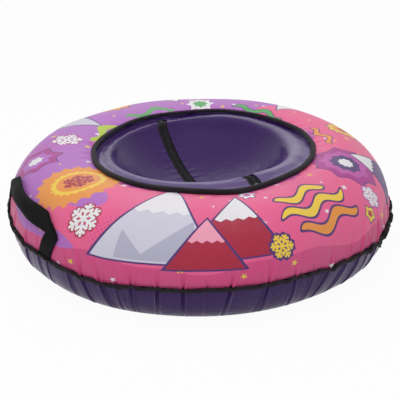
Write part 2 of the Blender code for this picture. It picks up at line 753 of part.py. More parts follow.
def stop_mesh(name, side, centre_x, width):
    """One stop on the tape just past the end of the coils, on the near or far side."""
    line = zip_line(SEAT_THICKNESS - STOP_HEIGHT / 2.0, TAPE_END_RADIUS)
    before = [point for point in line if point[0] < COIL_END_RADIUS][-1]
    after = [point for point in line if point[0] >= COIL_END_RADIUS][0]
    along, rise = unit((after[0] - before[0], after[1] - before[1]))
    reach = (COIL_END_RADIUS - before[0]) / along + GAP + STOP_LENGTH / 2.0
    centre = Vector((centre_x, side * (before[0] + along * reach), before[1] + rise * reach))
    mesh = box_mesh(name, (width, STOP_LENGTH, STOP_HEIGHT))
    mesh.transform(Matrix.Translation(centre) @ Matrix.Rotation(side * math.atan2(rise, along), 4, "X"))
    return mesh


def make_stops(shop):
    """The bottom stop at the far end and the two top stops at the near end."""
    shop.add("zip_bottom_stop", stop_mesh("zip_bottom_stop", 1.0, 0.0, STOP_WIDTH), "zip_metal")
    width = (STOP_WIDTH - TOP_STOP_SPLIT) / 2.0
    middle = (width + TOP_STOP_SPLIT) / 2.0
    for side, place_name in ((-1.0, "left"), (1.0, "right")):
        name = "zip_top_stop_" + place_name
        shop.add(name, stop_mesh(name, -1.0, side * middle, width), "zip_metal")


def make_slider(shop):
    """The zip slider, which turns about the centre of the seat's arc, and its pull."""
    axis = shop.add_axis("zip_slider_axis", (0.0, 0.0, SEAT_CENTRE_HEIGHT + SEAT_ARC_RADIUS),
                         SLIDER_REST_ANGLE)
    top_low = COIL_RADIUS - coil_depth() + SLIDER_TOP_CLEARANCE
    top_middle = top_low + SLIDER_PLATE / 2.0
    low_top = -(tape_depth() + TAPE_THICKNESS / 2.0 + SLIDER_LOW_CLEARANCE)
    low_middle = low_top - SLIDER_PLATE / 2.0
    seat = -SEAT_ARC_RADIUS
    plate_size = (SLIDER_WIDTH, SLIDER_LENGTH, SLIDER_PLATE)
    slider = shop.add("zip_slider", box_mesh("zip_slider", plate_size, (0.0, 0.0, seat + top_middle)),
                      "zip_metal", axis)
    corners = slider.modifiers.new("corners", "BEVEL")
    corners.width = SLIDER_CORNER
    corners.segments = 2
    corners.limit_method = "WEIGHT"
    mark_upright_edges(slider.data)
    web_size = (2.0 * SLIDER_WEB_HALF, SLIDER_WEB_LENGTH, top_middle - low_middle)
    web = box_mesh("slider_web", web_size, (0.0, 0.0, seat + (top_middle + low_middle) / 2.0))
    low = box_mesh("slider_low_plate", plate_size, (0.0, 0.0, seat + low_middle))
    plate_top = top_middle + SLIDER_PLATE / 2.0
    bridge_size = (2.0 * BRIDGE_HALF_WIDTH, BRIDGE_LENGTH, BRIDGE_HEIGHT + SLIDER_PLATE / 2.0)
    bridge = box_mesh("slider_bridge", bridge_size,
                      (0.0, 0.0, seat + top_middle + bridge_size[2] / 2.0))
    window_size = (4.0 * BRIDGE_HALF_WIDTH, BRIDGE_LENGTH - 2.0 * BRIDGE_BAR, BRIDGE_HEIGHT - BRIDGE_BAR)
    window = box_mesh("slider_window", window_size, (0.0, 0.0, seat + plate_top + window_size[2] / 2.0))
    for name, mesh, operation in (("slider_web", web, "UNION"), ("slider_low_plate", low, "UNION"),
                                  ("slider_bridge", bridge, "UNION"), ("slider_window", window, "DIFFERENCE")):
        tool = shop.add_tool(name, mesh)
        tool.parent = axis
        cut(slider, tool, operation)
    make_pull(shop, axis, seat + plate_top + PULL_PIVOT_HEIGHT)


def mark_upright_edges(mesh):
    """Mark the upright edges of a plate for its corner bevel."""
    weights = mesh.attributes.new("bevel_weight_edge", "FLOAT", "EDGE")
    for edge in mesh.edges:
        first, second = (mesh.vertices[index].co for index in edge.vertices)
        run = (first - second).normalized()
        weights.data[edge.index].value = 1.0 if abs(run.z) > abs(run.x) + abs(run.y) else 0.0


def pull_droop(pivot_height):
    """Angle at which the pull leans down until its tip is just above the coils."""
    reach = PULL_LENGTH - PULL_PIVOT_BAR / 2.0
    rise = reach ** 2 / (2.0 * SEAT_ARC_RADIUS)
    tip = COIL_RADIUS - coil_depth() + rise + PULL_THICKNESS / 2.0 + PULL_TIP_CLEARANCE
    return math.atan2(pivot_height - tip, reach)


def ring_of_points(centre, radius, start, end, steps):
    """Points on an arc in the plane of X and Y."""
    return ellipse_points(centre, radius, radius, start, end, steps)


def make_pull(shop, slider_axis, pivot_along):
    """The flat pull, hung on the slider's bridge by the bar at its end."""
    pivot_height = pivot_along + SEAT_ARC_RADIUS
    axis = shop.add_axis("zip_pull_axis", (0.0, 0.0, pivot_along), -pull_droop(pivot_height), slider_axis)
    curve = bpy.data.curves.new("zip_pull", "CURVE")
    curve.dimensions = "2D"
    curve.fill_mode = "BOTH"
    curve.extrude = PULL_THICKNESS / 2.0
    half = PULL_WIDTH / 2.0
    start = -PULL_PIVOT_BAR / 2.0
    tip_centre = start + PULL_LENGTH - half
    outline = [(half, start)] + ring_of_points((0.0, tip_centre), half, 0.0, math.pi, PULL_ROUND_STEPS)
    outline.append((-half, start))
    window_start = PULL_PIVOT_BAR / 2.0
    window_end = window_start + PULL_WINDOW_LENGTH
    window = [(PULL_WINDOW_HALF, window_start), (PULL_WINDOW_HALF, window_end),
              (-PULL_WINDOW_HALF, window_end), (-PULL_WINDOW_HALF, window_start)]
    hole = ring_of_points((0.0, tip_centre), PULL_HOLE_RADIUS, 0.0, math.tau, 2 * PULL_ROUND_STEPS)[:-1]
    for loop in (outline, window, hole):
        line = curve.splines.new("POLY")
        line.points.add(len(loop) - 1)
        line.use_cyclic_u = True
        for point, (across, along) in zip(line.points, loop):
            point.co = (across, along, 0.0, 1.0)
    shop.add("zip_pull", curve, "zip_metal", axis)


# Handles


def strap_start():
    """Radius and height where the strap turns up from the seam tape along the cover."""
    radius = COVER_RADIUS + STRAP_STANDOFF + STRAP_THICKNESS / 2.0
    height = SEAM_HEIGHT + seam_tape_half_height() + GAP + STRAP_THICKNESS / 2.0
    return radius, height


def strap_point(side, arc, up, bow):
    """A point of the strap's middle surface, up the cover from the seam and round it by an arc."""
    radius, height = strap_start()
    upright = WIDEST_HEIGHT - height
    if up < 0.0:
        radius -= up
    elif up < upright:
        height += up
    else:
        standoff = radius - COVER_RADIUS + bow
        half_width = COVER_RADIUS - CREST_RADIUS + standoff
        half_height = CREST_HEIGHT - WIDEST_HEIGHT + standoff
        turn = 2.0 * (up - upright) / (half_width + half_height)
        radius = CREST_RADIUS + half_width * math.cos(turn)
        height = WIDEST_HEIGHT + half_height * math.sin(turn)
    angle = arc / COVER_RADIUS
    return Vector((side * radius * math.cos(angle), radius * math.sin(angle), height))


def leg_edges(up):
    """Inner and outer edge of a leg of the strap, as arcs from the middle of the handle."""
    centre = STRAP_ROOT_ANGLE * COVER_RADIUS + math.tan(STRAP_LEAN) * up
    half = STRAP_WIDTH / 2.0 / math.cos(STRAP_LEAN)
    return centre - half, centre + half


def strap_rows():
    """Pairs of edge places along the loop, from one cut root to the other, as arc and rise."""
    root_up = STRAP_ENDS_HEIGHT + GAP
    legs = []
    for index in range(STRAP_LEG_STEPS + 1):
        up = root_up + (STRAP_LOW_EDGE - root_up) * index / STRAP_LEG_STEPS
        inner, outer = leg_edges(up)
        outer_up = up + STRAP_CORNER_RISE * index / STRAP_LEG_STEPS
        legs.append(((inner, up), (leg_edges(outer_up)[1], outer_up)))
    corner_in, corner_out = legs[-1]
    fold = ((corner_in[0] - STRAP_FOLD_START, corner_in[1]),
            (corner_out[0] - STRAP_FOLD_RUN, corner_out[1] + STRAP_FOLD_RISE))
    strand = []
    for index in range(1, STRAP_STRAND_STEPS):
        share = 1.0 - 2.0 * index / STRAP_STRAND_STEPS
        rise = STRAP_MIDDLE_RISE * (1.0 - share ** 2)
        low = STRAP_LOW_EDGE + rise
        high = corner_out[1] + STRAP_FOLD_RISE + rise
        strand.append(((fold[0][0] * share, low), (fold[1][0] * share, high)))
    turn = []
    for index in range(1, STRAP_FOLD_STEPS + 1):
        share = index / STRAP_FOLD_STEPS
        turn.append(tuple(tuple(a + (b - a) * share for a, b in zip(start, end))
                          for start, end in zip(legs[-1], fold)))
    half = legs + turn
    other = [tuple((-arc, up) for arc, up in pair) for pair in half[::-1]]
    return half + strand + other


def bow_at(arc, up):
    """How far the strap bows off the cover, most in the middle of its strand."""
    along = min(abs(arc) / leg_edges(STRAP_LOW_EDGE)[1], 1.0)
    above = max(min((up - STRAP_ENDS_HEIGHT) / STRAP_LOW_EDGE, 1.0), 0.0)
    return STRAP_BOW * math.cos(along * math.pi / 2.0) ** 2 * above


def handle_axis(side):
    """Place of the line about which a handle swings."""
    outer = seam_tape_edge()
    half_strap = STRAP_WIDTH / 2.0 / COVER_RADIUS
    radius = (outer + COVER_RADIUS) / 2.0
    height = SEAM_HEIGHT + seam_tape_half_height() + STRAP_THICKNESS
    return Vector((side * radius * math.cos(STRAP_ROOT_ANGLE - half_strap / 2.0), 0.0, height))


def make_handle(shop, side, name, turn):
    """One webbing handle, turned round the ring: the loop that swings and its two sewn ends."""
    around = Matrix.Rotation(turn, 3, "Z")
    place = around @ handle_axis(side)
    axis = shop.add_axis(name + "_axis", place)
    rows = []
    for (arc_in, up_in), (arc_out, up_out) in strap_rows():
        row = []
        for step in range(STRAP_CROSS_STEPS + 1):
            share = step / STRAP_CROSS_STEPS
            arc = arc_in + (arc_out - arc_in) * share
            up = up_in + (up_out - up_in) * share
            row.append(around @ strap_point(side, arc, up, bow_at(arc, up)) - place)
        rows.append(row)
    thicken(shop.add(name, sheet_mesh(name, rows), "black_webbing", axis), STRAP_THICKNESS)
    for end_side, place_name in ((-1.0, "near"), (1.0, "far")):
        ups = [-STRAP_SEAM_RUN, 0.0, STRAP_ENDS_HEIGHT / 2.0, STRAP_ENDS_HEIGHT]
        end_rows = []
        for up in ups:
            inner, outer = leg_edges(max(up, 0.0))
            arcs = [inner + (outer - inner) * step / STRAP_CROSS_STEPS for step in range(STRAP_CROSS_STEPS + 1)]
            end_rows.append([around @ strap_point(side, end_side * arc, up, 0.0) for arc in arcs])
        end_name = name + "_end_" + place_name
        thicken(shop.add(end_name, sheet_mesh(end_name, end_rows), "black_webbing"), STRAP_THICKNESS)


def main():
    """Build every piece of the snow tube."""
    shop = Workshop()
    make_covers(shop)
    make_seat(shop)
    make_rim_binding(shop)
    make_seam_binding(shop)
    make_inner_tube(shop)
    make_valve(shop)
    make_zip(shop)
    make_slider(shop)
    make_handle(shop, -1.0, "handle_left", 0.0)
    make_handle(shop, 1.0, "handle_right", RIGHT_HANDLE_TURN)


main()
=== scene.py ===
"""Dresses the snow tube: gathered covers, sunk seat, tapes, coil zip, webbing handles and studio.

Lengths are metres in the frame of the solids: +Z up, the zip along Y, the left handle on -X and the right handle 36
degrees round from +X. Angles round the ring are degrees from +X.
"""

import json
import logging
import math
from dataclasses import dataclass, field, fields, replace
from enum import Enum
from typing import Callable, ClassVar

import bmesh
import bpy
import numpy as np
from mathutils import Matrix, Vector


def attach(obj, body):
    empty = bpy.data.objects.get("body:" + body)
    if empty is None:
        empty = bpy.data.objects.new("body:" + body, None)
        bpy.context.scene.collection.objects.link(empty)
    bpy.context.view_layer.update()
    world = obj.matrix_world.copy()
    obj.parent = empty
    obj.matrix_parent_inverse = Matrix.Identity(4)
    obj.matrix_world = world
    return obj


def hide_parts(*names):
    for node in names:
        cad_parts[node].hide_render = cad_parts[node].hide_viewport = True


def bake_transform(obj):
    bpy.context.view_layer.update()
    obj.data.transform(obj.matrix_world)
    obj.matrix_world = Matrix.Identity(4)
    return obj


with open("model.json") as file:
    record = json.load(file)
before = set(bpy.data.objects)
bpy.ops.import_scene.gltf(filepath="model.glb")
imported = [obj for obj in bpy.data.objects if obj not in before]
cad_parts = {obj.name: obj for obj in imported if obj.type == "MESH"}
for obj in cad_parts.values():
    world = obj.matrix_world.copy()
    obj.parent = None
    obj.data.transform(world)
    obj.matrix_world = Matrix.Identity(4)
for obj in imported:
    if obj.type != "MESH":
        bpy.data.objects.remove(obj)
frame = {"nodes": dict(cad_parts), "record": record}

LOG = logging.getLogger("snow_tube")
PHOTO_AZIMUTH = -26.8
PHOTO_ELEVATION = 26.7
MAP_RADIUS = 0.36
MAP_CURVE = -4.52
MAP_BASE = 1.244
CRISP_EDGE = 0.0009
ZIP_AZIMUTHS = (-90.0, 90.0)
SOCKET_KINDS = {"Place": "NodeSocketVector", "Centre": "NodeSocketVector", "Colour": "NodeSocketColor",
                "Dust": "NodeSocketColor", "Path": "NodeSocketGeometry", "Result": "NodeSocketGeometry",
                "Shape": "NodeSocketObject", "Seed": "NodeSocketInt", "Material": "NodeSocketMaterial"}

Colour = tuple[float, float, float, float]
Section = tuple[np.ndarray, np.ndarray, np.ndarray]


class Body(Enum):
    """The rigid bodies that pieces ride on."""

    TUBE = "tube_body"
    LEFT_HANDLE = "left_handle_body"
    RIGHT_HANDLE = "right_handle_body"


class Slot(Enum):
    """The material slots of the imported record."""

    PRINT = "printed_cover"
    SHEETING = "purple_sheeting"
    TAPE = "black_tape"
    WEBBING = "black_webbing"
    RUBBER = "tube_rubber"
    COIL = "zip_plastic"
    METAL = "zip_metal"
    BRASS = "brass"
    STEEL = "spring_steel"
    CAP = "cap_plastic"


class Side(Enum):
    """The two sides, named for the way that each lies along X."""

    LEFT = -1.0
    RIGHT = 1.0


def linear(red: float, green: float, blue: float) -> Colour:
    """Turn a screen colour, each part from 0 to 255, into the linear colour that a shader takes."""
    shares = [value / 255.0 for value in (red, green, blue)]
    return *[share / 12.92 if share <= 0.04045 else ((share + 0.055) / 1.055) ** 2.4 for share in shares], 1.0


def smooth_step(values: np.ndarray, low: float, high: float) -> np.ndarray:
    """Rise smoothly from 0 at low to 1 at high, which may be below low."""
    share = np.clip((values - low) / (high - low), 0.0, 1.0)
    return share * share * (3.0 - 2.0 * share)


def turn_gap(azimuth: np.ndarray, centre: float) -> np.ndarray:
    """Signed angle in degrees from a centre, wrapped to within half a turn."""
    return (azimuth - centre + 180.0) % 360.0 - 180.0


def bumps(azimuth: np.ndarray, *rows: tuple[float, float, float]) -> np.ndarray:
    """The sum of some round bumps, each given by its angle, its width in degrees and its height."""
    return sum(height * np.exp(-(turn_gap(azimuth, centre) / width) ** 2) for centre, width, height in rows)


def ripple(azimuth: np.ndarray, seed: int, lowest: int, highest: int) -> np.ndarray:
    """A smooth irregular wave round the ring, about one unit high.

    Args:
        azimuth: Angles in degrees.
        seed: Fixed seed of the wave.
        lowest: Fewest waves in a turn.
        highest: Most waves in a turn.

    Returns:
        Heights, mostly from -1 to 1.
    """
    chance = np.random.RandomState(seed)
    total = np.zeros_like(azimuth)
    counts = range(lowest, highest + 1)
    for count in counts:
        total += chance.uniform(0.4, 1.0) * np.sin(np.radians(azimuth * count) + chance.uniform(0.0, math.tau))
    return total / math.sqrt(len(counts) * 0.4)


def even_turns(columns: int) -> np.ndarray:
    """Even angles round the ring in degrees."""
    return np.arange(columns) * 360.0 / columns


def round_lengths(azimuth: np.ndarray, radius: float) -> np.ndarray:
    """Lengths round the ring up to its full turn, for a piece's map."""
    return np.radians(np.append(azimuth, 360.0)) * radius


def ring_points(azimuth: np.ndarray, radius: np.ndarray, height: np.ndarray) -> np.ndarray:
    """Points round the ring, with a last axis of three."""
    turn = np.radians(azimuth)
    return np.stack(np.broadcast_arrays(radius * np.cos(turn), radius * np.sin(turn), height), -1)


def distances(points: np.ndarray) -> np.ndarray:
    """Distance of each point along a line of points."""
    return np.concatenate([[0.0], np.cumsum(np.linalg.norm(np.diff(points, axis=0), axis=1))])


def unit(vectors: np.ndarray) -> np.ndarray:
    """Vectors brought to a length of one."""
    return vectors / np.linalg.norm(vectors, axis=-1, keepdims=True)


def measured(radii: list[float], heights: list[float]) -> Section:
    """A section as radii, heights and distances along it."""
    return np.array(radii), np.array(heights), distances(np.stack([radii, heights], -1))


def bezier(share: np.ndarray, *levels: float) -> np.ndarray:
    """A curve drawn by some control levels, at shares of its run.

    Args:
        share: Places along the curve, from 0 to 1.
        levels: The curve's control values.

    Returns:
        Values on the curve.
    """
    last = len(levels) - 1
    return sum(math.comb(last, step) * (1.0 - share) ** (last - step) * share ** step * level
               for step, level in enumerate(levels))


# Shaders


class Wire:
    """A value in a node tree. Arithmetic on it adds Math nodes."""

    def __init__(self, tree: "Tree", socket: bpy.types.NodeSocket) -> None:
        """Keep the tree and the socket that brings the value."""
        self.tree, self.socket = tree, socket

    def math(self, operation: str, *others: object, clamp: bool = False) -> "Wire":
        """The result of an operation on this value and others."""
        return self.tree.math(operation, self, *others, clamp=clamp)

    def __add__(self, other: object) -> "Wire":
        """The sum."""
        return self.math("ADD", other)

    def __sub__(self, other: object) -> "Wire":
        """The difference."""
        return self.math("SUBTRACT", other)

    def __rsub__(self, other: float) -> "Wire":
        """What is left of a number."""
        return self.tree.math("SUBTRACT", other, self)

    def __mul__(self, other: object) -> "Wire":
        """The product."""
        return self.math("MULTIPLY", other)

    def __truediv__(self, other: object) -> "Wire":
        """The quotient."""
        return self.math("DIVIDE", other)

    def __abs__(self) -> "Wire":
        """The value without its sign."""
        return self.math("ABSOLUTE")

    def crisp(self) -> "Wire":
        """A distance inside an outline as a mask with a crisp edge."""
        return self.math("DIVIDE", CRISP_EDGE, clamp=True)

    def parts(self, kind: str = "ShaderNodeSeparateXYZ") -> list["Wire"]:
        """The three parts of a vector or colour."""
        return [Wire(self.tree, socket) for socket in self.tree.node(kind, {0: self}).outputs]


class Tree:
    """Adds and links nodes."""

    def __init__(self, nodes: bpy.types.NodeTree) -> None:
        """Keep the tree that the nodes go into."""
        self.tree = nodes

    def feed(self, node: bpy.types.Node, feeds: dict[str | int, object]) -> None:
        """Link or set some inputs of a node.

        Args:
            node: The node.
            feeds: A wire, a node, a socket or a plain value for each input.
        """
        for name, value in feeds.items():
            value = value.socket if isinstance(value, Wire) else value
            value = value.outputs[0] if isinstance(value, bpy.types.Node) else value
            if isinstance(value, bpy.types.NodeSocket):
                self.tree.links.new(value, node.inputs[name])
            else:
                node.inputs[name].default_value = value

    def node(self, kind: str, feeds: dict[str | int, object] | None = None, **settings: object) -> bpy.types.Node:
        """Add a node.

        Args:
            kind: The node's type name.
            feeds: What goes into its inputs.
            settings: Attributes to set on it.

        Returns:
            The node.
        """
        made = self.tree.nodes.new(kind)
        for name, value in settings.items():
            setattr(made, name, value)
        self.feed(made, feeds or {})
        return made

    def wire(self, kind: str, feeds: dict[str | int, object] | None = None, output: str | int = 0,
             **settings: object) -> Wire:
        """Add a node and take one of its outputs."""
        return Wire(self, self.node(kind, feeds, **settings).outputs[output])

    def math(self, operation: str, *values: object, clamp: bool = False) -> Wire:
        """The result of a Math node."""
        return self.wire("ShaderNodeMath", dict(enumerate(values)), operation=operation, use_clamp=clamp)

    def less(self, first: object, second: object) -> Wire:
        """The distance vector from the second place to the first."""
        return self.wire("ShaderNodeVectorMath", {0: first, 1: second}, operation="SUBTRACT")

    def mix(self, share: object, first: object, second: object) -> Wire:
        """Mix two colours by a share of the second."""
        return self.wire("ShaderNodeMix", {0: share, 6: first, 7: second}, 2, data_type="RGBA")

    def noise(self, place: object, scale: object, detail: float = 3.0, roughness: float = 0.5) -> Wire:
        """Noise from 0 to 1, by its waves to the metre, its finer layers and their weight."""
        return self.wire("ShaderNodeTexNoise", {"Vector": place, "Scale": scale, "Detail": detail,
                                                "Roughness": roughness})

    def ramp(self, value: object, low: float, high: float) -> Wire:
        """Stretch a value from between low and high to between 0 and 1."""
        return self.wire("ShaderNodeMapRange", {"Value": value, "From Min": low, "From Max": high},
                         interpolation_type="SMOOTHSTEP")

    def group(self, nodes: bpy.types.NodeTree, **feeds: object) -> Wire:
        """Place a shader group and take its first output."""
        return self.wire("ShaderNodeGroup", feeds, node_tree=nodes)

    def result(self, *values: object) -> bpy.types.NodeTree:
        """Send values to the group's outputs, and give back the group."""
        self.node("NodeGroupOutput", dict(enumerate(values)))
        return self.tree


def node_group(name: str, kind: str, inputs: tuple[str, ...], outputs: tuple[str, ...]) -> tuple[Tree, list[Wire]]:
    """Make an empty node group with its sockets.

    Args:
        name: The group's name.
        kind: The group's type name.
        inputs: Names of its inputs. What SOCKET_KINDS doesn't name is a number.
        outputs: Names of its outputs.

    Returns:
        The tree, and the values that come in.
    """
    made = bpy.data.node_groups.new(name, kind)
    for way, titles in (("INPUT", inputs), ("OUTPUT", outputs)):
        for title in titles:
            made.interface.new_socket(name=title, in_out=way, socket_type=SOCKET_KINDS.get(title, "NodeSocketFloat"))
    tree = Tree(made)
    given = tree.node("NodeGroupInput")
    return tree, [Wire(tree, given.outputs[title]) for title in inputs]


def shader_group(name: str, inputs: str, outputs: str) -> tuple[Tree, list[Wire]]:
    """Make an empty shader group from the names of its sockets."""
    return node_group(name, "ShaderNodeTree", tuple(inputs.split()), tuple(outputs.split()))


def polar(along: Wire, up: Wire) -> tuple[Wire, Wire]:
    """Distance and angle of a place."""
    return (along * along + up * up).math("SQRT"), up.math("ARCTAN2", along)


class ShaderKit:
    """The shader groups that several finishes share. Those of the motifs carry their classes' names."""

    def __init__(self) -> None:
        """Build every group once."""
        self.weave, self.creases, self.dust, self.ribs = self._weave(), self._creases(), self._dust(), self._ribs()
        self.petal, self.ribbon, self.crystal = self._petal(), self._ribbon(), self._crystal()
        self.peak, self.dots, self.stars = self._peak(), self._dots(), self._stars()

    def _weave(self) -> bpy.types.NodeTree:
        """Over and under threads on a flat place.

        Returns:
            The group.
        """
        tree, (place, pitch) = shader_group("Woven threads", "Place Pitch", "Height")
        waves = [(axis / pitch * math.pi).math("SINE") for axis in place.parts()[:2]]
        over = (waves[0] * waves[1]).math("GREATER_THAN", 0.0)
        return tree.result(over * abs(waves[0]) + (1.0 - over) * abs(waves[1]))

    def _creases(self) -> bpy.types.NodeTree:
        """Soft dents and sharper creases of a stretched sheet.

        Returns:
            The group.
        """
        tree, (place, scale, sharpness) = shader_group("Sheet creases", "Place Scale Sharpness", "Height")
        soft = tree.noise(place, scale, 2.0, 0.45)
        fold = abs(tree.noise(place, scale * 3.1, 3.0, 0.6) - 0.5)
        sharp = (1.0 - fold * 4.0).math("MAXIMUM", 0.0) * sharpness
        return tree.result(soft + sharp * 0.35)

    def _dust(self) -> bpy.types.NodeTree:
        """Uneven colour from handling and a little dust.

        Returns:
            The group.
        """
        tree, (place, colour, dust, scale, amount) = shader_group(
            "Uneven colour", "Place Colour Dust Scale Amount", "Colour")
        cloud = tree.noise(place, scale, 4.0, 0.6)
        return tree.result(tree.mix(tree.ramp(cloud, 0.42, 0.74) * amount, colour, dust))

    def _ribs(self) -> bpy.types.NodeTree:
        """Cross ribs of a woven tape along its length.

        Returns:
            The group.
        """
        tree, (place, pitch) = shader_group("Tape ribs", "Place Pitch", "Height")
        along, across = place.parts()[:2]
        rib = abs((along / pitch * math.pi).math("SINE"))
        return tree.result(rib + abs((across / pitch * math.tau).math("SINE")) * 0.25)

    def _local(self, place: Wire, centre: Wire) -> tuple[Wire, Wire]:
        """True distances from a motif's centre along and up the cover, which narrows towards its rim.

        Args:
            place: The place on the cover.
            centre: The motif's centre.

        Returns:
            Distance along, and distance up.
        """
        along, up, _ = place.tree.less(place, centre).parts()
        height = place.parts()[1]
        stretch = (height * height).math("MULTIPLY_ADD", MAP_CURVE, MAP_BASE)
        half_turn = math.pi * MAP_RADIUS
        return along.math("WRAP", half_turn, -half_turn) * stretch, up

    def _petal(self) -> bpy.types.NodeTree:
        """A disc, or with petals a flower or star, as a mask.

        Returns:
            The group.
        """
        tree, (place, centre, radius, petals, depth, turn) = shader_group(
            "Petal motif", "Place Centre Radius Petals Depth Turn", "Mask")
        reach, angle = polar(*self._local(place, centre))
        wave = abs(((angle + turn) * (petals * 0.5)).math("SINE"))
        return tree.result((radius * (1.0 - wave * depth) - reach).crisp())

    def _ribbon(self) -> bpy.types.NodeTree:
        """A waving ribbon with tapered ends, as a mask.

        Returns:
            The group.
        """
        tree, (place, centre, length, width, wave, swing, slope) = shader_group(
            "Ribbon motif", "Place Centre Length Width Wave Swing Slope", "Mask")
        along, up = self._local(place, centre)
        middle = (along / wave * math.tau).math("SINE") * swing
        off = abs(up - along * slope - middle)
        share = abs(along / (length * 0.5)).math("POWER", 4.0)
        taper = (1.0 - share).math("MAXIMUM", 0.0).math("SQRT")
        return tree.result((width * 0.5 * taper - off).crisp())

    def _crystal(self) -> bpy.types.NodeTree:
        """A six-armed snow crystal with two pairs of twigs on each arm, as a mask.

        Returns:
            The group.
        """
        tree, (place, centre, radius, width, turn) = shader_group(
            "Crystal motif", "Place Centre Radius Width Turn", "Mask")
        reach, angle = polar(*self._local(place, centre))
        wedge = (angle + turn + 2.0 * math.tau).math("PINGPONG", math.pi / 6.0)
        along, off, half = reach * wedge.math("COSINE"), reach * wedge.math("SINE"), width * 0.5
        arm = (half - off).math("MINIMUM", radius - along)
        for start, length in ((0.38, 0.34), (0.66, 0.24)):
            ahead = along - radius * start
            run = ahead * 0.5 + off * 0.866
            side = abs(ahead * 0.866 - off * 0.5)
            end = radius.math("MULTIPLY_ADD", length, half) - run
            arm = arm.math("MAXIMUM", (half - side).math("MINIMUM", end.math("MINIMUM", run)))
        return tree.result(arm.crisp())

    def _peak(self) -> bpy.types.NodeTree:
        """A pointed hill with a notched lower edge, as a mask.

        Returns:
            The group.
        """
        tree, (place, centre, width, height, teeth, lean) = shader_group(
            "Peak motif", "Place Centre Width Height Teeth Lean", "Mask")
        along, up = self._local(place, centre)
        side = width * 0.5 * (1.0 - up / height) - abs(along - up * lean)
        notch = (along + 5.0).math("PINGPONG", width * 0.125) * teeth
        return tree.result(side.math("MINIMUM", up - notch).crisp())

    def _dots(self) -> bpy.types.NodeTree:
        """A round field of dots that shrink towards its edge, as a mask.

        Returns:
            The group.
        """
        tree, (place, centre, radius, pitch) = shader_group("Dot field", "Place Centre Radius Pitch", "Mask")
        along, up = self._local(place, centre)
        reach, _ = polar(along, up)
        waves = [(way / pitch * math.tau).math("COSINE") for way in (along + up, along - up)]
        limit = (reach / radius).math("MULTIPLY_ADD", 1.3, -0.3)
        return tree.result(((waves[0] + waves[1]) * 0.5 - limit).math("DIVIDE", 0.25, clamp=True))

    def _stars(self) -> bpy.types.NodeTree:
        """Small stars strewn over the cloth, with a number from 0 to 1 for each.

        Returns:
            The group.
        """
        tree, (place, scale, radius) = shader_group("Strewn stars", "Place Scale Radius", "Mask Pick")
        cells = tree.node("ShaderNodeTexVoronoi", {"Vector": place, "Scale": scale, "Randomness": 0.85})
        reach, angle = polar(*tree.less(place, cells.outputs["Position"]).parts()[:2])
        turn, growth, pick = Wire(tree, cells.outputs["Color"]).parts("ShaderNodeSeparateColor")
        wave = abs((turn.math("MULTIPLY_ADD", math.tau, angle) * 2.5).math("SINE"))
        size = radius * growth.math("MULTIPLY_ADD", 0.6, 0.5)
        return tree.result((size * wave.math("MULTIPLY_ADD", -0.58, 1.0) - reach).crisp(), pick)


@dataclass(frozen=True)
class Finish:
    """A finish that becomes one Principled material."""

    name: str
    colour: Colour
    roughness: float
    metallic: float = 0.0

    def material(self, kit: ShaderKit) -> bpy.types.Material:
        """Build the material.

        Args:
            kit: The shared shader groups.

        Returns:
            The material.
        """
        material = bpy.data.materials.new(self.name)
        material.use_nodes = True
        tree = Tree(material.node_tree)
        plain = {"Base Color": self.colour, "Roughness": self.roughness, "Metallic": self.metallic}
        tree.feed(material.node_tree.nodes["Principled BSDF"], plain | self.look(kit, tree))
        return material

    def look(self, kit: ShaderKit, tree: Tree) -> dict[str, object]:
        """What goes into the shader."""
        raise NotImplementedError

    def bump(self, tree: Tree, height: Wire, depth: float) -> Wire:
        """Raise the surface by a height times a depth in metres."""
        return tree.wire("ShaderNodeBump", {"Strength": 1.0, "Distance": depth, "Height": height})

    def place(self, tree: Tree, mapped: bool = False) -> Wire:
        """What places a pattern: the piece's own map, or the object's lengths."""
        return tree.wire("ShaderNodeTexCoord", output="UV" if mapped else "Object")


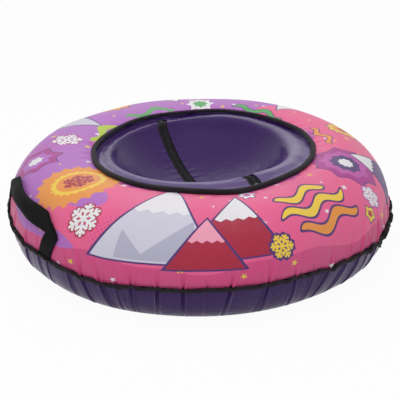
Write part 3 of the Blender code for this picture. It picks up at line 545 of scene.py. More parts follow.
@dataclass(frozen=True)
class SheetFinish(Finish):
    """Glossy coated sheeting with soft dents, creases and a fine grain, with an optional painted reflection band on the
    seat's shoulder.
    """

    crease_scale: float = 16.0
    crease_depth: float = 0.0022
    dust: Colour = (0.2, 0.2, 0.2, 1.0)
    sheen: float = 0.55
    # Colour, share and sideways lean of the painted reflection band on the seat's shoulder.
    haze: Colour | None = None
    haze_share: float = 0.37
    haze_aside: float = 0.2

    def hazed(self, tree: Tree, place: Wire, colour: Wire) -> Wire:
        """Paint a pale reflection band onto the sheet round the seat's shoulder, strongest on the side towards the
        camera.

        Args:
            tree: The material's nodes.
            place: Object coordinates.
            colour: The colour below the painted reflection.

        Returns:
            The colour with the painted reflection.
        """
        across, ahead, _ = place.parts()
        sine, cosine = math.sin(math.radians(PHOTO_AZIMUTH)), math.cos(math.radians(PHOTO_AZIMUTH))
        # Painted reflection: it grows towards the camera's side of the ring and a little towards the picture's right.
        near = across * (sine + self.haze_aside * cosine) - ahead * (cosine - self.haze_aside * sine)
        wobble = tree.noise(place, 9.0).math("MULTIPLY_ADD", 0.016, -0.008)
        reflection_band = tree.ramp((across * across + ahead * ahead).math("SQRT") + wobble, 0.202, 0.222)
        return tree.mix(reflection_band * tree.ramp(near, -0.12, 0.05) * self.haze_share, colour, self.haze)

    def look(self, kit: ShaderKit, tree: Tree) -> dict[str, object]:
        """What goes into the shader.

        Args:
            kit: The shared shader groups.
            tree: The tree that the nodes go into.

        Returns:
            What goes into each input of the shader.
        """
        place = self.place(tree)
        creases = tree.group(kit.creases, Place=place, Scale=self.crease_scale, Sharpness=0.6)
        height = creases + tree.noise(place, 900.0, 2.0, 0.5) * 0.012
        colour = tree.group(kit.dust, Place=place, Colour=self.colour, Dust=self.dust, Scale=7.0, Amount=0.10)
        # Painted reflection: a pale lilac band where the seat's shoulder would mirror the bright surroundings.
        if self.haze is not None:
            colour = self.hazed(tree, place, colour)
        return {"Base Color": colour, "Normal": self.bump(tree, height, self.crease_depth),
                "Roughness": tree.noise(place, 22.0) * 0.12 + (self.roughness - 0.06), "Specular IOR Level": 0.26,
                "Sheen Weight": self.sheen, "Sheen Roughness": 0.22, "Sheen Tint": linear(190, 165, 235)}


@dataclass(frozen=True)
class TapeFinish(Finish):
    """Matte ribbed tape that reads its own map."""

    pitch: float = 0.0016
    depth: float = 0.00035
    worn_colour: Colour = (0.06, 0.06, 0.065, 1.0)
    sheen: float = 0.25

    def look(self, kit: ShaderKit, tree: Tree) -> dict[str, object]:
        """What goes into the shader.

        Args:
            kit: The shared shader groups.
            tree: The tree that the nodes go into.

        Returns:
            What goes into each input of the shader.
        """
        ribs = tree.group(kit.ribs, Place=self.place(tree, True), Pitch=self.pitch)
        worn = tree.group(kit.dust, Place=self.place(tree), Colour=self.colour, Dust=self.worn_colour, Scale=25.0,
                          Amount=0.5)
        return {"Base Color": tree.mix(ribs * 0.25, worn, self.worn_colour), "Specular IOR Level": 0.25,
                "Normal": self.bump(tree, ribs, self.depth), "Sheen Weight": self.sheen, "Sheen Roughness": 0.5}


@dataclass(frozen=True)
class WebbingFinish(Finish):
    """Flat woven webbing that reads its own map."""

    pitch: float = 0.0022
    worn_colour: Colour = (0.05, 0.05, 0.05, 1.0)

    def look(self, kit: ShaderKit, tree: Tree) -> dict[str, object]:
        """What goes into the shader.

        Args:
            kit: The shared shader groups.
            tree: The tree that the nodes go into.

        Returns:
            What goes into each input of the shader.
        """
        weave = tree.group(kit.weave, Place=self.place(tree, True), Pitch=self.pitch)
        return {"Base Color": tree.mix(weave * 0.5, self.colour, self.worn_colour), "Specular IOR Level": 0.12,
                "Normal": self.bump(tree, weave, 0.0005), "Sheen Weight": 0.015}


@dataclass(frozen=True)
class MetalFinish(Finish):
    """Cast, turned or drawn metal with fine marks and worn places."""

    marks: float = 380.0
    worn_colour: Colour = (0.25, 0.25, 0.25, 1.0)

    def look(self, kit: ShaderKit, tree: Tree) -> dict[str, object]:
        """What goes into the shader.

        Args:
            kit: The shared shader groups.
            tree: The tree that the nodes go into.

        Returns:
            What goes into each input of the shader.
        """
        place = self.place(tree)
        grain = tree.noise(place, self.marks, 4.0, 0.6)
        return {"Base Color": tree.group(kit.dust, Place=place, Colour=self.colour, Dust=self.worn_colour, Scale=160.0,
                                         Amount=0.5),
                "Normal": self.bump(tree, grain, 0.00006), "Roughness": grain * 0.25 + (self.roughness - 0.1)}


@dataclass(frozen=True)
class MouldedFinish(Finish):
    """Moulded rubber or plastic with a fine grain and a little bloom."""

    grain: float = 700.0
    bloom: Colour = (0.09, 0.09, 0.09, 1.0)

    def look(self, kit: ShaderKit, tree: Tree) -> dict[str, object]:
        """What goes into the shader.

        Args:
            kit: The shared shader groups.
            tree: The tree that the nodes go into.

        Returns:
            What goes into each input of the shader.
        """
        place = self.place(tree)
        return {"Base Color": tree.group(kit.dust, Place=place, Colour=self.colour, Dust=self.bloom, Scale=30.0,
                                         Amount=0.4),
                "Normal": self.bump(tree, tree.noise(place, self.grain, 3.0, 0.6), 0.0001),
                "Roughness": tree.noise(place, 60.0) * 0.2 + (self.roughness - 0.1)}


PINK = linear(238, 98, 148)
LIGHT_PINK = linear(246, 164, 190)
DEEP_PINK = linear(216, 74, 132)
MAGENTA = linear(172, 44, 140)
ORCHID = linear(192, 84, 170)
LILAC = linear(182, 108, 196)
ORANGE = linear(238, 152, 64)
YELLOW = linear(246, 208, 70)
CRIMSON = linear(168, 30, 60)
GREEN = linear(84, 168, 92)
LIME = linear(186, 206, 62)
WHITE = linear(240, 238, 242)
PALE = linear(214, 212, 228)
GREY = linear(184, 182, 204)
PURPLE = linear(74, 38, 110)


@dataclass(frozen=True)
class Motif:
    """One shape of the printed pattern, placed by its angle round the ring and its way up the cover."""

    growth: ClassVar[dict[str, float]] = {}
    azimuth: float
    up: float
    colour: Colour

    def mask(self, tree: Tree, kit: ShaderKit, place: Wire) -> Wire:
        """Args:
            tree: The material's nodes.
            kit: The shared shader groups.
            place: The piece's own map.

        Returns:
            The mask.
        """
        centre = (math.radians(self.azimuth) % math.tau * MAP_RADIUS, self.up, 0.0)
        sizes = {item.name.title(): getattr(self, item.name) for item in fields(self)[3:]}
        return tree.group(getattr(kit, type(self).__name__.lower()), Place=place, Centre=centre, **sizes)

    def edged(self, extra: float = 0.0036, colour: Colour = PURPLE) -> list["Motif"]:
        """The shape of a line round the motif, and the motif."""
        grown = {name: getattr(self, name) + share * extra for name, share in self.growth.items()}
        return [replace(self, colour=colour, **grown), self]


@dataclass(frozen=True)
class Petal(Motif):
    """A disc, flower or star."""

    growth = {"radius": 1.0}
    radius: float
    petals: float = 6.0
    depth: float = 0.0
    turn: float = 0.0


@dataclass(frozen=True)
class Ribbon(Motif):
    """A waving ribbon."""

    growth = {"width": 2.0, "length": 2.0}
    length: float
    width: float
    wave: float = 0.09
    swing: float = 0.010
    slope: float = 0.0


@dataclass(frozen=True)
class Crystal(Motif):
    """A snow crystal."""

    growth = {"radius": 1.0, "width": 2.0}
    radius: float
    width: float = 0.006
    turn: float = 0.0


@dataclass(frozen=True)
class Peak(Motif):
    """A snowy hill or its cap."""

    growth = {"width": 5.0, "height": 3.0, "up": -1.0}
    width: float
    height: float
    teeth: float = 0.0
    lean: float = 0.0


@dataclass(frozen=True)
class Dots(Motif):
    """A field of dots."""

    radius: float
    pitch: float = 0.012


def rings(azimuth: float, up: float, radius: float, colours: tuple[Colour, ...], *form: float) -> list[Motif]:
    """Petals of one form inside each other, the first with a dark line round it.

    Args:
        azimuth: Angle of the middle in degrees.
        up: Distance up the cover.
        radius: Radius in metres.
        colours: Colours from the outermost inwards.
        form: The remaining values of a Petal, in order.

    Returns:
        The motifs.
    """
    made = [Petal(azimuth, up, colour, radius * (1.0 - index / len(colours)), *form)
            for index, colour in enumerate(colours)]
    return made[0].edged() + made[1:]


def hill(azimuth: float, up: float, width: float, height: float, colour: Colour, cap: Colour = WHITE,
         lean: float = 0.0) -> list[Motif]:
    """A hill with a dark line and a snow cap over its upper half.

    Args:
        azimuth: Angle of the middle in degrees.
        up: Distance up the cover.
        width: Full width.
        height: Full height.
        colour: Colour of the body.
        cap: Colour of its top.
        lean: How much it leans.

    Returns:
        The motifs.
    """
    top = Peak(azimuth + math.degrees(0.48 * height * lean / MAP_RADIUS), up + height * 0.48, cap, width * 0.52,
               height * 0.52, 0.55, lean)
    return Peak(azimuth, up, colour, width, height, 0.0, lean).edged() + [top]


# The pattern's shapes, from the lowest to the topmost.
MOTIFS = [
    Dots(-141.0, 0.085, DEEP_PINK, 0.085),
    Dots(-75.0, 0.235, DEEP_PINK, 0.080, 0.010),
    Dots(-12.0, 0.120, DEEP_PINK, 0.090),
    Dots(150.0, 0.130, ORCHID, 0.090),
    Dots(62.0, 0.130, ORCHID, 0.090),
    Petal(-171.0, 0.190, ORANGE, 0.104, 22.0, 0.13),
    Petal(-171.0, 0.190, YELLOW, 0.064, 22.0, 0.10),
    Petal(-171.0, 0.190, ORANGE, 0.048),
    Crystal(-171.0, 0.190, CRIMSON, 0.036, 0.0075, 0.3),
    *Crystal(-152.5, 0.112, WHITE, 0.040, 0.0075, 0.2).edged(0.0022, CRIMSON),
    *hill(-107.5, 0.060, 0.200, 0.170, CRIMSON, WHITE, 0.12),
    *hill(-129.0, 0.050, 0.270, 0.225, PALE, WHITE, -0.05),
    Peak(-126.0, 0.054, GREY, 0.130, 0.090, 0.0, 0.6),
    Peak(-135.0, 0.054, GREY, 0.070, 0.060, 0.0, -0.5),
    *hill(-115.5, 0.040, 0.160, 0.110, CRIMSON, LIGHT_PINK, 0.05),
    *rings(-98.5, 0.238, 0.026, (WHITE, ORCHID), 6.0, 0.35),
    *Ribbon(-80.0, 0.178, YELLOW, 0.150, 0.021, 0.100, 0.011, 0.10).edged(0.0055),
    *Ribbon(-78.0, 0.135, YELLOW, 0.200, 0.021, 0.100, 0.011, 0.10).edged(0.0055),
    *Ribbon(-76.0, 0.092, ORANGE, 0.170, 0.021, 0.100, 0.011, 0.10).edged(0.0055),
    *Crystal(-94.5, 0.070, YELLOW, 0.026, 0.0055, 0.1).edged(0.0030),
    *rings(-60.5, 0.064, 0.020, (YELLOW, CRIMSON), 5.0, 0.32, 0.9),
    *rings(-45.0, 0.178, 0.090, (MAGENTA, ORCHID, PURPLE, WHITE), 9.0, 0.16, 0.3),
    *hill(-34.0, 0.036, 0.160, 0.135, PURPLE, WHITE, -0.10),
    *Crystal(-54.5, 0.088, WHITE, 0.028, 0.006, 0.5).edged(0.0025, ORCHID),
    *Ribbon(-16.0, 0.225, ORANGE, 0.150, 0.014, 0.080, 0.008, 0.15).edged(0.003),
    *rings(-8.0, 0.140, 0.052, (YELLOW, ORANGE, CRIMSON), 11.0, 0.18),
    *hill(22.0, 0.040, 0.200, 0.170, MAGENTA, WHITE, 0.10),
    *Ribbon(32.0, 0.240, GREEN, 0.190, 0.018, 0.095, 0.010, -0.08).edged(0.003),
    *Crystal(49.0, 0.120, WHITE, 0.050, 0.008, 0.4).edged(0.0025),
    Petal(64.0, 0.215, WHITE, 0.046, 8.0, 0.26),
    Petal(64.0, 0.215, GREEN, 0.026, 8.0, 0.26),
    *hill(74.0, 0.040, 0.170, 0.145, GREEN),
    *rings(99.0, 0.120, 0.062, (ORANGE, YELLOW, WHITE), 10.0, 0.20),
    *hill(122.0, 0.040, 0.210, 0.185, PURPLE, PALE),
    Ribbon(92.0, 0.235, GREEN, 0.170, 0.020, 0.110, 0.012, 0.05),
    Ribbon(128.0, 0.247, LIME, 0.150, 0.026, 0.100, 0.010, 0.10),
    *Crystal(143.0, 0.190, WHITE, 0.038, 0.007, 0.2).edged(0.0022, MAGENTA),
    *rings(159.0, 0.130, 0.066, (MAGENTA, LILAC, WHITE), 7.0, 0.24),
]


@dataclass(frozen=True)
class PrintFinish(Finish):
    """Satin printed cloth: a ground of waves with the motifs on it."""

    def ground(self, tree: Tree, place: Wire) -> Wire:
        """Broad waves of pinks in front and lilac behind.

        Args:
            tree: The material's nodes.
            place: The piece's own map.

        Returns:
            The ground colour.
        """
        along, up, _ = place.parts()
        turn = along / MAP_RADIUS

        def wave(count: float, phase: float, swing: float) -> Wire:
            """A wave round the ring."""
            return turn.math("MULTIPLY_ADD", count, phase).math("SINE") * swing

        behind = (turn + -math.radians(112.0)).math("COSINE")
        rough = wave(9.0, 0.3, 0.10) + (up * 48.0).math("SINE") * 0.09
        colour = tree.mix((behind + rough - 0.05).math("DIVIDE", 0.006, clamp=True), PINK, LILAC)
        low = wave(7.0, 0.4, 0.010) + wave(17.0, 1.0, 0.004) + 0.043
        colour = tree.mix((low - up).crisp(), colour, DEEP_PINK)
        high = wave(5.0, 2.2, -0.016) + wave(12.0, 0.5, 0.007) + 0.262
        colour = tree.mix((up - high).crisp(), colour, ORCHID)
        top = wave(8.0, 1.1, 0.010) + wave(13.0, 2.0, 0.004) + 0.287
        return tree.mix((up - top).crisp(), colour, MAGENTA)

    def look(self, kit: ShaderKit, tree: Tree) -> dict[str, object]:
        """What goes into the shader.

        Args:
            kit: The shared shader groups.
            tree: The tree that the nodes go into.

        Returns:
            What goes into each input of the shader.
        """
        place = self.place(tree, True)
        stars = tree.group(kit.stars, Place=place, Scale=11.0, Radius=0.010)
        pick = Wire(tree, stars.socket.node.outputs["Pick"]).math("GREATER_THAN", 0.6)
        colour = tree.mix(stars, self.ground(tree, place), tree.mix(pick, YELLOW, WHITE))
        for motif in MOTIFS:
            colour = tree.mix(motif.mask(tree, kit, place), colour, motif.colour)
        worn = tree.group(kit.dust, Place=self.place(tree), Colour=colour, Dust=linear(190, 160, 182), Scale=8.0,
                          Amount=0.10)
        weave = tree.group(kit.weave, Place=place, Pitch=0.0007)
        creases = tree.group(kit.creases, Place=self.place(tree), Scale=11.0, Sharpness=0.35)
        return {"Base Color": worn, "Normal": self.bump(tree, creases + weave * 0.018, 0.0022), "Sheen Weight": 0.12,
                "Sheen Roughness": 0.4}


# Meshes


def report(piece: bpy.types.Object) -> None:
    """Log a finished piece with its number of faces."""
    LOG.info("%s: %d faces", piece.name, len(piece.data.polygons))


def add_object(name: str, data: bpy.types.ID) -> bpy.types.Object:
    """Add an object to the scene.

    Args:
        name: The piece's name.
        data: The mesh, lamp or camera.

    Returns:
        The object.
    """
    made = bpy.data.objects.new(name, data)
    bpy.context.scene.collection.objects.link(made)
    return made


def finished_mesh(name: str, work: bmesh.types.BMesh) -> bpy.types.Mesh:
    """Make a mesh from a work mesh, which is freed.

    Args:
        name: The piece's name.
        work: The work mesh.

    Returns:
        The mesh.
    """
    mesh = bpy.data.meshes.new(name)
    work.to_mesh(mesh)
    work.free()
    return mesh


def thicken(piece: bpy.types.Object, thickness: float, offset: float) -> bpy.types.Object:
    """Give a sheet its thickness, and give it back.

    Args:
        piece: The piece.
        thickness: Its thickness.
        offset: Where the sheet lies in it, from -1 to 1.

    Returns:
        The same piece.
    """
    wall = piece.modifiers.new("thickness", "SOLIDIFY")
    wall.thickness, wall.offset = thickness, offset
    return piece


def grid_mesh(name: str, points: np.ndarray, material: bpy.types.Material, wrap: bool = True,
              lengths: tuple[np.ndarray, np.ndarray] | None = None, flip: bool = False,
              closed_rows: bool = False) -> bpy.types.Object:
    """Make a mesh from rows of points.

    Args:
        name: The piece's name.
        points: Points as rows by columns by three.
        material: The piece's material.
        wrap: Whether each row closes on itself.
        lengths: Lengths along the columns and the rows for the piece's map. Each has one more entry where it wraps.
        flip: Whether to turn the faces over.
        closed_rows: Whether the last row joins the first.

    Returns:
        The object.
    """
    rows, columns = points.shape[:2]
    index = np.arange(rows * columns).reshape(rows, columns)
    if wrap:
        index = np.concatenate([index, index[:, :1]], axis=1)
    if closed_rows:
        index = np.concatenate([index, index[:1]], axis=0)

    def corners(table: np.ndarray) -> np.ndarray:
        """The values of a table at the four corners of each face."""
        quads = np.stack([table[:-1, :-1], table[:-1, 1:], table[1:, 1:], table[1:, :-1]], axis=-1).reshape(-1, 4)
        return quads[:, ::-1] if flip else quads

    mesh = bpy.data.meshes.new(name)
    mesh.from_pydata(points.reshape(-1, 3).tolist(), [], corners(index).tolist())
    mesh.update()
    if lengths is not None:
        table = np.stack([corners(part) for part in np.meshgrid(*lengths)], -1)
        mesh.uv_layers.new(name="lengths").data.foreach_set("uv", table.reshape(-1).astype(np.float32))
    mesh.materials.append(material)
    mesh.shade_smooth()
    return add_object(name, mesh)


def dress(piece: bpy.types.Object, slot: Slot, *nodes: str) -> None:
    """Ride a piece on the tube, hide the nodes that it replaces, and log it.

    Args:
        piece: The piece.
        slot: Its material slot. Not used.
        nodes: The nodes that it replaces.
    """
    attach(piece, Body.TUBE.value)
    if nodes:
        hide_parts(*nodes)
    report(piece)


def stretch(piece: bpy.types.Object, **more: object) -> None:
    """Do nothing: the piece keeps the form it was built with.

    Args:
        piece: The piece. Not used.
    """


@dataclass(frozen=True)
class Gather:
    """One gather of the covers at the outer seam: its angle, depth and lean, and how far the seam dips there."""

    azimuth: float
    depth: float
    lean: float
    dip: float


@dataclass
class TubeForm:
    """The soft form that every cloth piece follows."""

    cover_radius: float = 0.448
    widest: float = 0.092
    crest_radius: float = 0.300
    crest_height: float = 0.209
    ground_radius: float = 0.410
    seam_radius: float = 0.4455
    seam_height: float = 0.083
    rim_radius: float = 0.2545
    rim_base: float = 0.202
    seat_centre: float = 0.090
    seat_arc: float = 0.265
    seat_reach: float = 0.2019
    side_squeeze: float = 0.006
    rim_shift: float = 0.011
    gather_width: float = 2.6
    seam_fade: float = 0.030
    seam_dips: tuple = ((-157.0, 7.0, 0.0050), (-141.5, 4.5, 0.0035), (-54.0, 17.0, 0.0065))
    side_swells: tuple = ((-62.0, 20.0, 0.0080), (-147.0, 14.0, 0.0045))
    rim_dip: tuple = (-98.0, 18.0, 0.0075)
    seat_swells: tuple = ((45.0, 33.0, 0.0070), (-86.0, 28.0, 0.0065))
    gathers: list[Gather] = field(default_factory=list)

    def __post_init__(self) -> None:
        """Place the gathers: those in the picture, then an even but irregular run behind."""
        seen = [(-173.6, 5.0, 0.3, 3.0), (-167.0, 3.0, 0.2, 0.0), (-162.5, 2.5, 0.1, -1.0), (-154.0, 3.5, -0.2, 0.5),
                (-148.8, 5.5, -0.4, 5.0), (-143.0, 6.0, -0.5, 4.0), (-138.5, 2.5, -0.2, 1.0), (-134.5, 4.0, 0.0, 1.5),
                (-127.6, 4.0, 0.1, 0.5), (-121.0, 4.5, 0.1, 2.5), (-115.0, 2.0, 0.2, -0.5), (-109.0, 4.5, 0.5, -0.5),
                (-99.3, 4.5, 0.4, 0.5), (-91.6, 4.0, 0.3, 0.0), (-86.0, 2.5, 0.5, 1.0), (-80.8, 6.0, 0.9, 6.5),
                (-74.0, 5.5, 0.9, 1.0), (-69.0, 4.5, 0.8, 1.0), (-64.0, 3.0, 0.6, 0.5), (-59.3, 5.5, 0.6, 5.5),
                (-52.0, 4.0, 0.4, 0.0), (-46.0, 4.5, 0.3, 2.0), (-38.0, 4.0, 0.2, 1.0)]
        self.gathers = [Gather(azimuth, depth / 1000.0, lean, dip / 1000.0) for azimuth, depth, lean, dip in seen]
        chance = np.random.RandomState(31)
        azimuth = -31.0
        while azimuth < 180.0:
            self.gathers.append(Gather(azimuth, chance.uniform(0.0025, 0.0055), chance.uniform(-0.6, 0.6),
                                       chance.uniform(-0.001, 0.004)))
            azimuth += chance.uniform(4.5, 9.0)

    def view_turn(self, azimuth: np.ndarray) -> np.ndarray:
        """Angle round the ring from the picture's right, in radians."""
        return np.radians(azimuth - PHOTO_AZIMUTH)

    def seam_wave(self, azimuth: np.ndarray) -> np.ndarray:
        """Rise of the outer seam above its level, in metres."""
        dips = [(gather.azimuth, self.gather_width, gather.dip) for gather in self.gathers]
        return ripple(azimuth, 5, 3, 9) * 0.0014 - bumps(azimuth, *self.seam_dips, *dips)

    def squeeze(self, azimuth: np.ndarray) -> np.ndarray:
        """How far the ring's sides are drawn in, in metres."""
        drawn = self.side_squeeze * np.cos(self.view_turn(azimuth)) ** 2 - 0.0012 * ripple(azimuth, 9, 4, 11)
        return drawn - bumps(azimuth, *self.side_swells)

    def rim_wave(self, azimuth: np.ndarray) -> np.ndarray:
        """Rise of the rim above its level, in metres.

        Args:
            azimuth: Angles in degrees.

        Returns:
            Heights in metres.
        """
        view = self.view_turn(azimuth)
        level = -0.0045 + 0.0033 * np.cos(view) - 0.00275 * np.sin(view) - 0.0018 * np.cos(2.0 * view)
        return level + 0.0008 * ripple(azimuth, 17, 3, 8) - bumps(azimuth, self.rim_dip)

    def shifted(self, points: np.ndarray, share: np.ndarray) -> np.ndarray:
        """Move points towards the picture's right by a share of the rim's shift.

        Args:
            points: Points by three.
            share: A share for each point.

        Returns:
            The moved points.
        """
        turn = math.radians(PHOTO_AZIMUTH)
        right = np.array([math.cos(turn), math.sin(turn), 0.0])
        return points + self.rim_shift * np.asarray(share)[..., None] * right

    def fold_field(self, azimuth: np.ndarray, along: np.ndarray, reach: float, gain: float, lean_gain: float,
                   spreading: float) -> np.ndarray:
        """Rise and fall of the gathers on a cover, each a sharp dent between two ridges.

        Args:
            azimuth: Angles in degrees.
            along: Distance from the seam.
            reach: How far the gathers run from the seam.
            gain: How deep they are as a share of their depth.
            lean_gain: How much they lean.
            spreading: How much each gather widens on its way from the seam.

        Returns:
            Heights along the surface's normal.
        """
        total = np.zeros(np.broadcast(azimuth, along).shape)
        spread = 0.0022 + spreading * along
        for order, gather in enumerate(self.gathers):
            way = turn_gap(azimuth, gather.azimuth) * math.pi / 180.0 * self.cover_radius
            way = way - gather.lean * lean_gain * along
            fade = np.exp(-(along / (reach * (0.75 + 0.5 * ((order * 7) % 5) / 4.0))) ** 2)
            side = 1.0 if order % 2 else -1.0
            dent = -0.9 * np.exp(-(way / (0.9 * spread)) ** 2) - 0.35 * np.exp(-np.abs(way) / (5.0 * spread))
            ridge = 0.80 * np.exp(-((way - side * 1.8 * spread) / (0.9 * spread)) ** 2)
            ridge = ridge + 0.30 * np.exp(-((way + side * 2.6 * spread) / (1.6 * spread)) ** 2)
            total += gather.depth * gain * fade * (dent + ridge)
        return total

    def top_section(self) -> Section:
        """The top cover's section from the seam round the crest to the rim.

        Returns:
            Radii, heights, and distances along the section.
        """
        edge, turn, slope = np.linspace(0.0, 1.0, 7)[:-1], np.linspace(0.0, math.pi / 2.0, 37)[:-1], \
            np.linspace(0.0, 1.0, 12)
        low, foot = self.seam_height + 0.0011, self.rim_radius + 0.0030
        radii = [*bezier(edge, self.seam_radius, self.cover_radius, self.cover_radius),
                 *self.crest_radius + (self.cover_radius - self.crest_radius) * np.cos(turn),
                 *self.crest_radius + (foot - self.crest_radius) * slope,
                 self.rim_radius + 0.0013, self.rim_radius + 0.0012]
        heights = [*bezier(edge, low, (low + self.widest) / 2.0, self.widest),
                   *self.widest + (self.crest_height - self.widest) * np.sin(turn),
                   *self.crest_height + (self.rim_base - 0.0008 - self.crest_height) * slope ** 2,
                   self.rim_base + 0.0010, self.rim_base + 0.0080]
        return measured(radii, heights)

    def bottom_section(self) -> Section:
        """The bottom cover's section from the seam to near the middle of the ground.

        Returns:
            Radii, heights, and distances along the section.
        """
        turn = np.linspace(0.18, math.pi / 2.0, 25)
        flat = (0.37, 0.33, 0.27, 0.20, 0.12, 0.05, 0.012)
        radii = [self.seam_radius, self.seam_radius + 0.0006,
                 *self.ground_radius + (self.cover_radius - self.ground_radius) * np.cos(turn), *flat]
        heights = [self.seam_height - 0.0011, 0.0795, *self.widest * (1.0 - np.sin(turn)), *np.zeros(len(flat))]
        return measured(radii, heights)

    def seat_section(self) -> Section:
        """The seat's section from the middle over its arc and its wall to its rim flange.

        Returns:
            Radii, heights, and distances along the section.
        """
        reach = math.asin(self.seat_reach / self.seat_arc)
        turn, wall = np.linspace(0.006, reach, 56), np.linspace(0.0, 1.0, 27)[1:]
        radii, heights = self.seat_arc * np.sin(turn), self.seat_centre + self.seat_arc * (1.0 - np.cos(turn))
        end = (self.rim_radius - 0.005, self.rim_base - 0.0125)
        radii = [*radii, *bezier(wall, radii[-1], radii[-1] + 0.013 * math.cos(reach), end[0] - 0.0190, end[0]),
                 self.rim_radius - 0.0022, self.rim_radius - 0.0014, self.rim_radius - 0.0013]
        heights = [*heights, *bezier(wall, heights[-1], heights[-1] + 0.013 * math.sin(reach), end[1] + 0.0035, end[1]),
                   self.rim_base - 0.0098, self.rim_base - 0.0060, self.rim_base + 0.0070]
        return measured(radii, heights)

    def on_section(self, section: Section, along: np.ndarray) -> list[np.ndarray]:
        """Radius and height at distances along a section, and their slopes.

        Args:
            section: Radii, heights and distances along the section.
            along: Distances along the section.

        Returns:
            Radius, height, and how fast each changes.
        """
        radii, heights, way = section
        return [np.interp(along, way, line) for line in (radii, heights, np.gradient(radii, way),
                                                         np.gradient(heights, way))]

    def top_points(self, azimuth: np.ndarray, along: np.ndarray, folded: bool = True) -> np.ndarray:
        """Points of the top cover.

        Args:
            azimuth: Angles in degrees.
            along: Distance from the seam along the section.
            folded: Whether the gathers are added.

        Returns:
            Points with a last axis of three.
        """
        section = self.top_section()
        radius, height, slope_r, slope_z = self.on_section(section, along)
        total = section[2][-1]
        near_rim = smooth_step(along, total - 0.16, total - 0.03)
        lift = ripple(azimuth, 13, 3, 8) * 0.0016 * np.sin(np.clip(along / total, 0.0, 1.0) * math.pi)
        if folded:
            lift = lift + self.fold_field(azimuth, along, 0.034, 1.00, 0.5, 0.10)
            lift = lift + ripple(azimuth, 21, 38, 64) * 0.0007 * smooth_step(along, total - 0.055, total - 0.018)
        lift = lift * (1.0 - smooth_step(along, total - 0.022, total - 0.009))
        radius = radius - self.squeeze(azimuth) * (1.0 - near_rim) + lift * slope_z
        height = height + self.seam_wave(azimuth) * np.exp(-along / self.seam_fade) - lift * slope_r
        return self.shifted(ring_points(azimuth, radius, height + self.rim_wave(azimuth) * near_rim), near_rim)

    def bottom_points(self, azimuth: np.ndarray, along: np.ndarray) -> np.ndarray:
        """Points of the bottom cover.

        Args:
            azimuth: Angles in degrees.
            along: Distance from the seam along the section.

        Returns:
            Points with a last axis of three.
        """
        radius, height, slope_r, slope_z = self.on_section(self.bottom_section(), along)
        lift = self.fold_field(azimuth, along, 0.085, 0.95, -0.45, 0.014)
        lift = lift + ripple(azimuth, 27, 9, 24) * 0.0011 * np.exp(-((along - 0.05) / 0.035) ** 2)
        lift = lift * smooth_step(height, 0.0004, 0.012)
        radius = radius - self.squeeze(azimuth) * np.exp(-along / 0.08) - lift * slope_z
        height = height + self.seam_wave(azimuth) * np.exp(-along / self.seam_fade) + lift * slope_r
        return ring_points(azimuth, radius, np.maximum(height, 0.0))

    def seat_points(self, azimuth: np.ndarray, along: np.ndarray, folded: bool = True) -> np.ndarray:
        """Points of the seat's upper surface.

        Args:
            azimuth: Angles in degrees.
            along: Distance from the middle along the section.
            folded: Whether the puckers are added.

        Returns:
            Points with a last axis of three.
        """
        section = self.seat_section()
        radius, height, _, _ = self.on_section(section, along)

        def past(first: float, last: float) -> np.ndarray:
            """Rise from 0 to 1 between two distances from the section's end."""
            return smooth_step(along, section[2][-1] - first, section[2][-1] - last)

        view = self.view_turn(azimuth)
        swell = 0.0100 - 0.0062 * np.sin(view) + 0.0022 * np.cos(view) + bumps(azimuth, *self.seat_swells)
        behind = smooth_step(np.sin(view) - 0.32 * np.maximum(np.cos(view), 0.0), -0.45, 0.25)
        height = height + swell * past(0.088, 0.054) * (1.0 - 0.20 * past(0.046, 0.030)) \
            * (1.0 - behind * past(0.030, 0.0185)) * (1.0 - past(0.0200, 0.0120))
        if folded:
            free = 1.0 - np.maximum(*(bumps(azimuth, (end, 7.0, 1.0)) for end in ZIP_AZIMUTHS))
            puckers = ripple(azimuth, 41, 16, 34) * (0.00025 + bumps(azimuth, (-58.0, 24.0, 0.0009)))
            height = height + puckers * past(0.070, 0.035) * (1.0 - past(0.024, 0.014)) * (0.35 + 0.65 * free)
        near_rim = smooth_step(radius, 0.192, 0.236)
        return self.shifted(ring_points(azimuth, radius, height + self.rim_wave(azimuth) * near_rim), near_rim)

    def zip_line(self, ends: float, count: int, depth: float) -> tuple[np.ndarray, np.ndarray]:
        """The zip's line from the near end to the far end.

        Args:
            ends: Half of its length in plan.
            count: Number of points.
            depth: How far below the seat's surface it lies.

        Returns:
            Points, and the surface's normals there.
        """
        radii, _, way = self.seat_section()
        line = np.linspace(0.0, float(np.interp(ends, radii, way)), 600)
        near, far = [self.seat_points(np.full_like(line, azimuth), line, folded=False) for azimuth in ZIP_AZIMUTHS]
        path = np.concatenate([near[:0:-1], far])
        steps = distances(path)
        points = np.stack([np.interp(np.linspace(0.0, steps[-1], count), steps, axis) for axis in path.T], -1)
        tangent = np.gradient(points, axis=0)
        normal = unit(np.stack([np.zeros(count), -tangent[:, 2], tangent[:, 1]], -1))
        return points - normal * depth, normal


# Repeats along a path


